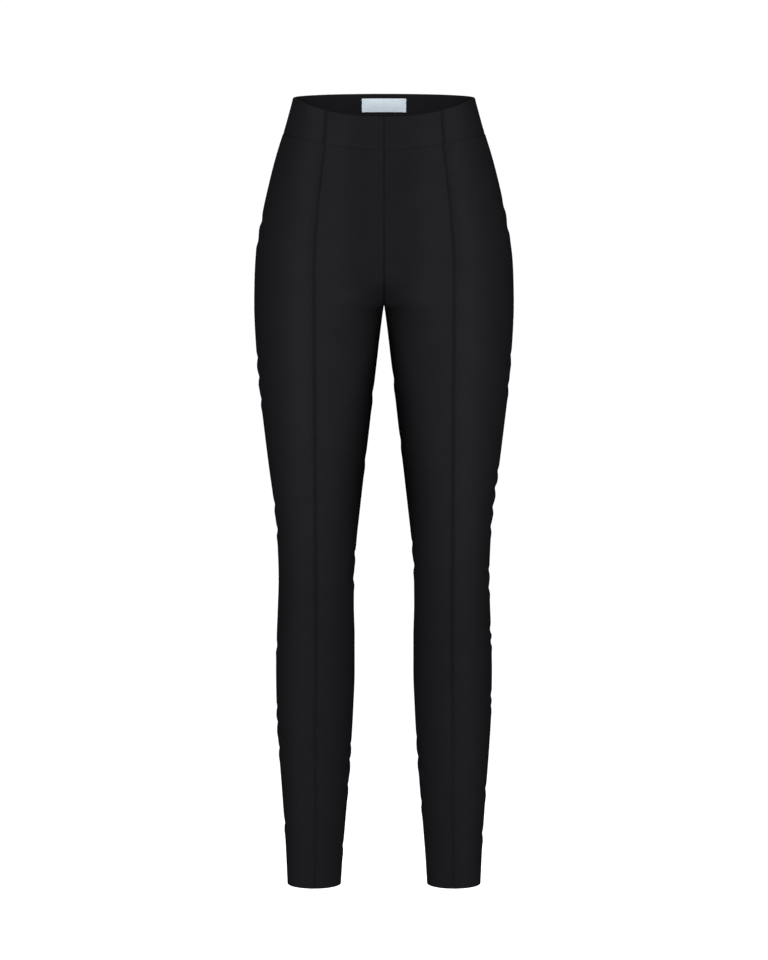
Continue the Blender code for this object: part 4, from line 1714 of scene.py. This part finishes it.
@dataclass
class Turnings(Tailor):
    """The overlocked seam allowances inside, which lie behind every seam."""

    legs: Legs
    band: Waistband
    half_width: float = 0.0062
    behind_leg: float = 0.0017
    behind_band: float = 0.0027
    thickness: float = 0.0011
    leg_steps: tuple = (0.0, 0.0021, 0.0042, 0.0062)
    band_steps: tuple = (0.0, 0.0020, 0.0042)
    end_gap: float = 0.001
    below_fork: float = 0.004
    side_rows: int = 170
    inside_rows: int = 140
    middle_rows: int = 90
    first_middle_row: float = 0.45
    waist_columns: int = 48
    waist_rises: tuple = (0.0050, 0.0025, 0.0, -0.0026, -0.0052, -0.0078)
    band_rows: int = 12
    band_from: float = 0.06
    band_to: float = 0.84

    def strip(self, halves: Sequence[Samples], lifts: Sequence, signs: Sequence[float]) -> Wall:
        """Join two halves of a strip at the seam.

        Args:
            halves: the half whose columns run towards the seam, and the one whose run away.
            lifts: each half's lift of the face against the cloth.
            signs: each half's sign of x.

        Returns:
            The strip's wall.
        """
        faces = []
        for extra in (0.0, self.thickness):
            parts = []
            for samples, lift, sign in zip(halves, lifts, signs):
                points = samples.lifted(lift - extra)
                points[..., 0] = np.maximum(points[..., 0], 0.0) * sign
                parts.append(points)
            parts[1][:, 0] = 0.5 * (parts[0][:, -1] + parts[1][:, 0])
            faces.append(np.concatenate((parts[0][:, :-1], parts[1]), axis=1))
        height = np.concatenate((halves[0].height[:, :-1], halves[1].height), axis=1)
        places = np.linspace(-self.half_width, self.half_width, height.shape[1])
        flat = np.stack((np.broadcast_to(places, height.shape), height), axis=2)
        return Wall(*faces, flat)

    def band_strip(self, halves: Sequence[Samples], signs: Sequence[float]) -> Wall:
        """Return a strip that lies evenly behind the waistband."""
        lifts = [np.full_like(half.height, -self.behind_band) for half in halves]
        return self.strip(halves, lifts, signs)

    def leg_strips(self, side: Side) -> list:
        """Make the strips behind the side seam and the inside-leg seam of one leg.

        Args:
            side: the wearer's side.

        Returns:
            The strips' walls.
        """
        figure = self.figure
        past_seam = [step - figure.half_gap for step in self.leg_steps]
        below_waist_seam = -self.waist_rises[-1] + self.end_gap
        side_top = -figure.band_depth - below_waist_seam
        inside_top = figure.crotch_height - self.below_fork
        foot = figure.hem_height + self.legs.hem_depth + self.end_gap
        plans = (
            ([from_end(-past) for past in past_seam], side_top, self.side_rows),
            ([from_start(past) for past in past_seam], inside_top, self.inside_rows),
        )
        walls = []
        for columns, top, count in plans:
            rows = np.linspace(top, foot, count)
            halves = (
                figure.sample(Half.FRONT, columns[::-1], rows, at_height),
                figure.sample(Half.BACK, columns, rows, at_height),
            )
            lifts = [self.legs.creases(half, side) - self.behind_leg for half in halves]
            walls.append(self.strip(halves, lifts, (side.value, side.value)))
        return walls

    def middle_strip(self, half: Half) -> Wall:
        """Make the strip behind the centre-front or centre-back seam of the legs.

        Args:
            half: the front or the back.

        Returns:
            The strip's wall.
        """
        figure = self.figure
        fork_foot = figure.hip_rows + figure.fork_rows
        rows = np.linspace(self.first_middle_row, fork_foot, self.middle_rows)
        columns = [from_start(step) for step in self.leg_steps]

        def height_of(row: np.ndarray, share: np.ndarray) -> np.ndarray:
            """Return the height of the middle seam at a row number."""
            return figure.leg_height(half, row, 0.0 * share)

        right = figure.sample(half, columns[::-1], rows, height_of)
        left = figure.sample(half, columns, rows, height_of)
        lifts = (
            self.legs.creases(right, Side.RIGHT) - self.behind_leg,
            self.legs.creases(left, Side.LEFT) - self.behind_leg,
        )
        return self.strip((right, left), lifts, (-1.0, 1.0))

    def waist_strip(self, half: Half) -> Wall:
        """Make the strip behind the waist seam, from side seam to side seam.

        Args:
            half: the front or the back.

        Returns:
            The strip's wall.
        """
        figure = self.figure
        columns = filled([from_start(0.0)], self.waist_columns, [from_end(figure.half_gap)])
        samples = figure.sample(
            half,
            columns,
            self.waist_rises,
            lambda row, share: figure.waist_seam(half, np.clip(share, 0.0, 1.0)) + row,
        )
        return self.band_strip((samples.flipped(), samples), (-1.0, 1.0))

    def band_strips(self) -> list:
        """Make the strips behind the vertical seams of the waistband.

        Returns:
            The strips' walls.
        """
        figure, steps = self.figure, self.band_steps
        rows = np.linspace(self.band_from, self.band_to, self.band_rows)
        at_side = [from_end(figure.half_gap - step) for step in steps]
        at_middle = [from_start(step) for step in steps]
        groups = (
            [from_line(-step) for step in reversed(steps)],
            [from_line(step) for step in steps],
            at_side[::-1],
            at_middle[::-1],
            at_middle,
        )
        towards_line, past_line, front_side, right, left = (
            figure.sample(Half.FRONT, columns, rows, self.band.front_height) for columns in groups
        )
        back_side = figure.sample(Half.BACK, at_side, rows, self.band.back_height)
        pairs = ((towards_line, past_line), (front_side, back_side))
        walls = [
            self.band_strip(pair, (side.value, side.value)) for side in Side for pair in pairs
        ]
        return [*walls, self.band_strip((right, left), (-1.0, 1.0))]

    def build(self) -> None:
        """Build and dress the turnings of the legs and of the waistband."""
        legs = [wall for side in Side for wall in self.leg_strips(side)]
        legs += [self.middle_strip(half) for half in Half]
        self.wardrobe.dress(self.maker.piece("leg_seam_turnings", legs), LEG_KNIT)
        band = [self.waist_strip(half) for half in Half] + self.band_strips()
        self.wardrobe.dress(self.maker.piece("band_seam_turnings", band), BAND_KNIT)


@dataclass
class Stitching(Tailor):
    """Thread stitches that lie in the cloth, down the tucks and at the label's ends."""

    legs: Legs
    pitch: float = 0.0034
    length: float = 0.0024
    width: float = 0.00045
    flatness: float = 0.4
    rise: float = 0.00016
    tuck_top: float = -0.058
    above_hem: float = 0.002
    tack_width: float = 0.0008
    tack_inside: float = 0.0012
    tack_outside: float = 0.0013
    tack_drops: tuple = (0.0020, 0.0098)
    tack_rise: float = 1.5
    band_face: float = 0.0026

    def add(
        self, shape: bmesh.types.BMesh, ends: Sequence[Vector], outward: Vector, width: float
    ) -> None:
        """Add one stitch.

        Args:
            shape: the bmesh.
            ends: where it comes out of the cloth and where it goes back in.
            outward: the way it faces.
            width: how thick its thread is.
        """
        start, end = ends
        along = (end - start).normalized()
        side = outward.cross(along).normalized()
        up = along.cross(side)
        turn = Matrix((along, side, up)).transposed().to_4x4()
        half_length = 0.5 * (end - start).length
        size = Matrix.Diagonal((half_length, 0.5 * width, self.flatness * width, 1.0))
        matrix = Matrix.Translation(0.5 * (start + end)) @ turn @ size
        bmesh.ops.create_icosphere(shape, subdivisions=1, radius=1.0, matrix=matrix)

    def row(self, shape: bmesh.types.BMesh, points: np.ndarray, outward: np.ndarray) -> None:
        """Add a row of stitches along points that lie one pitch apart.

        Args:
            shape: the bmesh.
            points: where the stitches start.
            outward: the way the cloth faces at each point.
        """
        for point, following, facing in zip(points, points[1:], outward):
            start = Vector(point)
            way = (Vector(following) - start).normalized()
            self.add(shape, (start, start + self.length * way), Vector(facing), self.width)

    def tuck_rows(self) -> None:
        """Stitch the tuck down the middle of each front leg."""
        figure = self.figure
        count = int((self.tuck_top - figure.hem_height - self.above_hem) / self.pitch)
        rows = [self.tuck_top - self.pitch * index for index in range(count)]
        column = [from_line(self.legs.tuck_stitch_place)]
        samples = figure.sample(Half.FRONT, column, rows, at_height)
        for side in Side:
            shape = bmesh.new()
            mirror = (side.value, 1.0, 1.0)
            lift = self.legs.creases(samples, side) + self.legs.tuck(samples) + self.rise
            self.row(shape, samples.lifted(lift)[:, 0] * mirror, samples.outward[:, 0] * mirror)
            thread = self.maker.finish(f"tuck_stitches_{side.name.lower()}", shape)
            self.wardrobe.dress(thread, BLACK_THREAD)

    def label_stitches(self, label: SewnLabel) -> None:
        """Tack the ends of the label to the band.

        Args:
            label: the label.
        """
        shape = bmesh.new()
        offsets = (-self.tack_inside, self.tack_outside)
        columns = [from_start(label.half_width + offset) for offset in offsets]
        rows = [label.top - drop for drop in self.tack_drops]
        samples = self.figure.sample(Half.BACK, columns, rows, at_height)
        depths = (label.back_of_it + self.tack_rise * label.weave, self.band_face)
        points = samples.lifted(-np.broadcast_to(depths, samples.height.shape))
        for side in Side:
            mirror = np.array((side.value, 1.0, 1.0))
            for ends, outward in zip(points, samples.outward):
                facing = Vector(-outward[0] * mirror)
                self.add(shape, [Vector(end * mirror) for end in ends], facing, self.tack_width)
        self.wardrobe.dress(self.maker.finish("label_tacks", shape), PALE_THREAD)


@dataclass
class Studio:
    """The plain room: a pale floor, soft light and the camera."""

    floor_height: float = -1.25
    floor_size: float = 60.0
    target: tuple = (0.0, 0.0, -0.46625)
    distance: float = 9.0
    pitch: float = 6.4
    lens: float = 276.6
    sensor: float = 36.0
    world_strength: float = 1.07
    key_power: float = 44.0
    key_place: tuple = (0.03, -1.35, 0.95)
    fill_power: float = 14.0
    fill_place: tuple = (0.05, -1.10, -0.35)
    back_power: float = 46.0
    back_place: tuple = (-0.45, 1.35, 0.75)
    light_size: float = 0.7
    light_aim: tuple = (0.0, 0.0, -0.26)
    floor_colour: tuple = opaque(0.95, 0.95, 0.95)
    world_colour: tuple = opaque(1.0, 1.0, 1.0)

    def floor(self) -> None:
        """Lay the floor."""
        shape = bmesh.new()
        bmesh.ops.create_grid(shape, x_segments=1, y_segments=1, size=0.5 * self.floor_size)
        bmesh.ops.translate(shape, verts=shape.verts, vec=(0.0, 0.0, self.floor_height))
        mesh = bpy.data.meshes.new("floor")
        shape.to_mesh(mesh)
        shape.free()
        floor = bpy.data.objects.new("floor", mesh)
        bpy.context.scene.collection.objects.link(floor)
        graph = Graph("pale_floor")
        graph.shader.inputs["Base Color"].default_value = self.floor_colour
        graph.shader.inputs["Roughness"].default_value = 1.0
        graph.shader.inputs["Specular IOR Level"].default_value = 0.0
        mesh.materials.append(graph.material)

    def light(self) -> None:
        """Light the room evenly, with soft lights in front and behind."""
        world = bpy.data.worlds.new("white_room")
        world.use_nodes = True
        background = world.node_tree.nodes["Background"]
        background.inputs["Color"].default_value = self.world_colour
        background.inputs["Strength"].default_value = self.world_strength
        bpy.context.scene.world = world
        self.soft_light("key", self.key_place, self.key_power)
        self.soft_light("fill", self.fill_place, self.fill_power)
        self.soft_light("back_light", self.back_place, self.back_power)
        bpy.context.scene.view_settings.view_transform = "Standard"

    def soft_light(self, name: str, place: tuple, power: float) -> None:
        """Hang a large soft light that points at the hips.

        Args:
            name: the light's name.
            place: where it hangs.
            power: its power in watts.
        """
        light = bpy.data.lights.new(name, "AREA")
        light.shape = "SQUARE"
        light.size = self.light_size
        light.energy = power
        lamp = bpy.data.objects.new(name, light)
        lamp.location = place
        aim = Vector(self.light_aim) - Vector(place)
        lamp.rotation_euler = aim.to_track_quat("-Z", "Y").to_euler()
        lamp.visible_camera = False
        bpy.context.scene.collection.objects.link(lamp)

    def camera(self) -> None:
        """Place the camera in front, a little above the middle."""
        data = bpy.data.cameras.new("camera")
        data.sensor_width = self.sensor
        data.lens = self.lens
        camera = bpy.data.objects.new("camera", data)
        angle = math.radians(self.pitch)
        away = Vector((0.0, -math.cos(angle), math.sin(angle))) * self.distance
        camera.location = Vector(self.target) + away
        camera.rotation_euler = (math.radians(90.0 - self.pitch), 0.0, 0.0)
        bpy.context.scene.collection.objects.link(camera)
        bpy.context.scene.camera = camera

    def build(self) -> None:
        """Set up the whole room."""
        self.floor()
        self.light()
        self.camera()


def main() -> None:
    """Load the frame and build every piece."""
    logging.basicConfig(level=logging.INFO, format="%(name)s: %(message)s")
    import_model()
    tools = (Figure(), ClothMaker(), Wardrobe())
    legs = Legs(*tools)
    band = Waistband(*tools)
    label = SewnLabel(*tools)
    stitching = Stitching(*tools, legs)
    legs.build()
    band.build()
    label.build()
    Turnings(*tools, legs, band).build()
    stitching.tuck_rows()
    stitching.label_stitches(label)
    Studio().build()


if __name__ == "__main__":
    main()
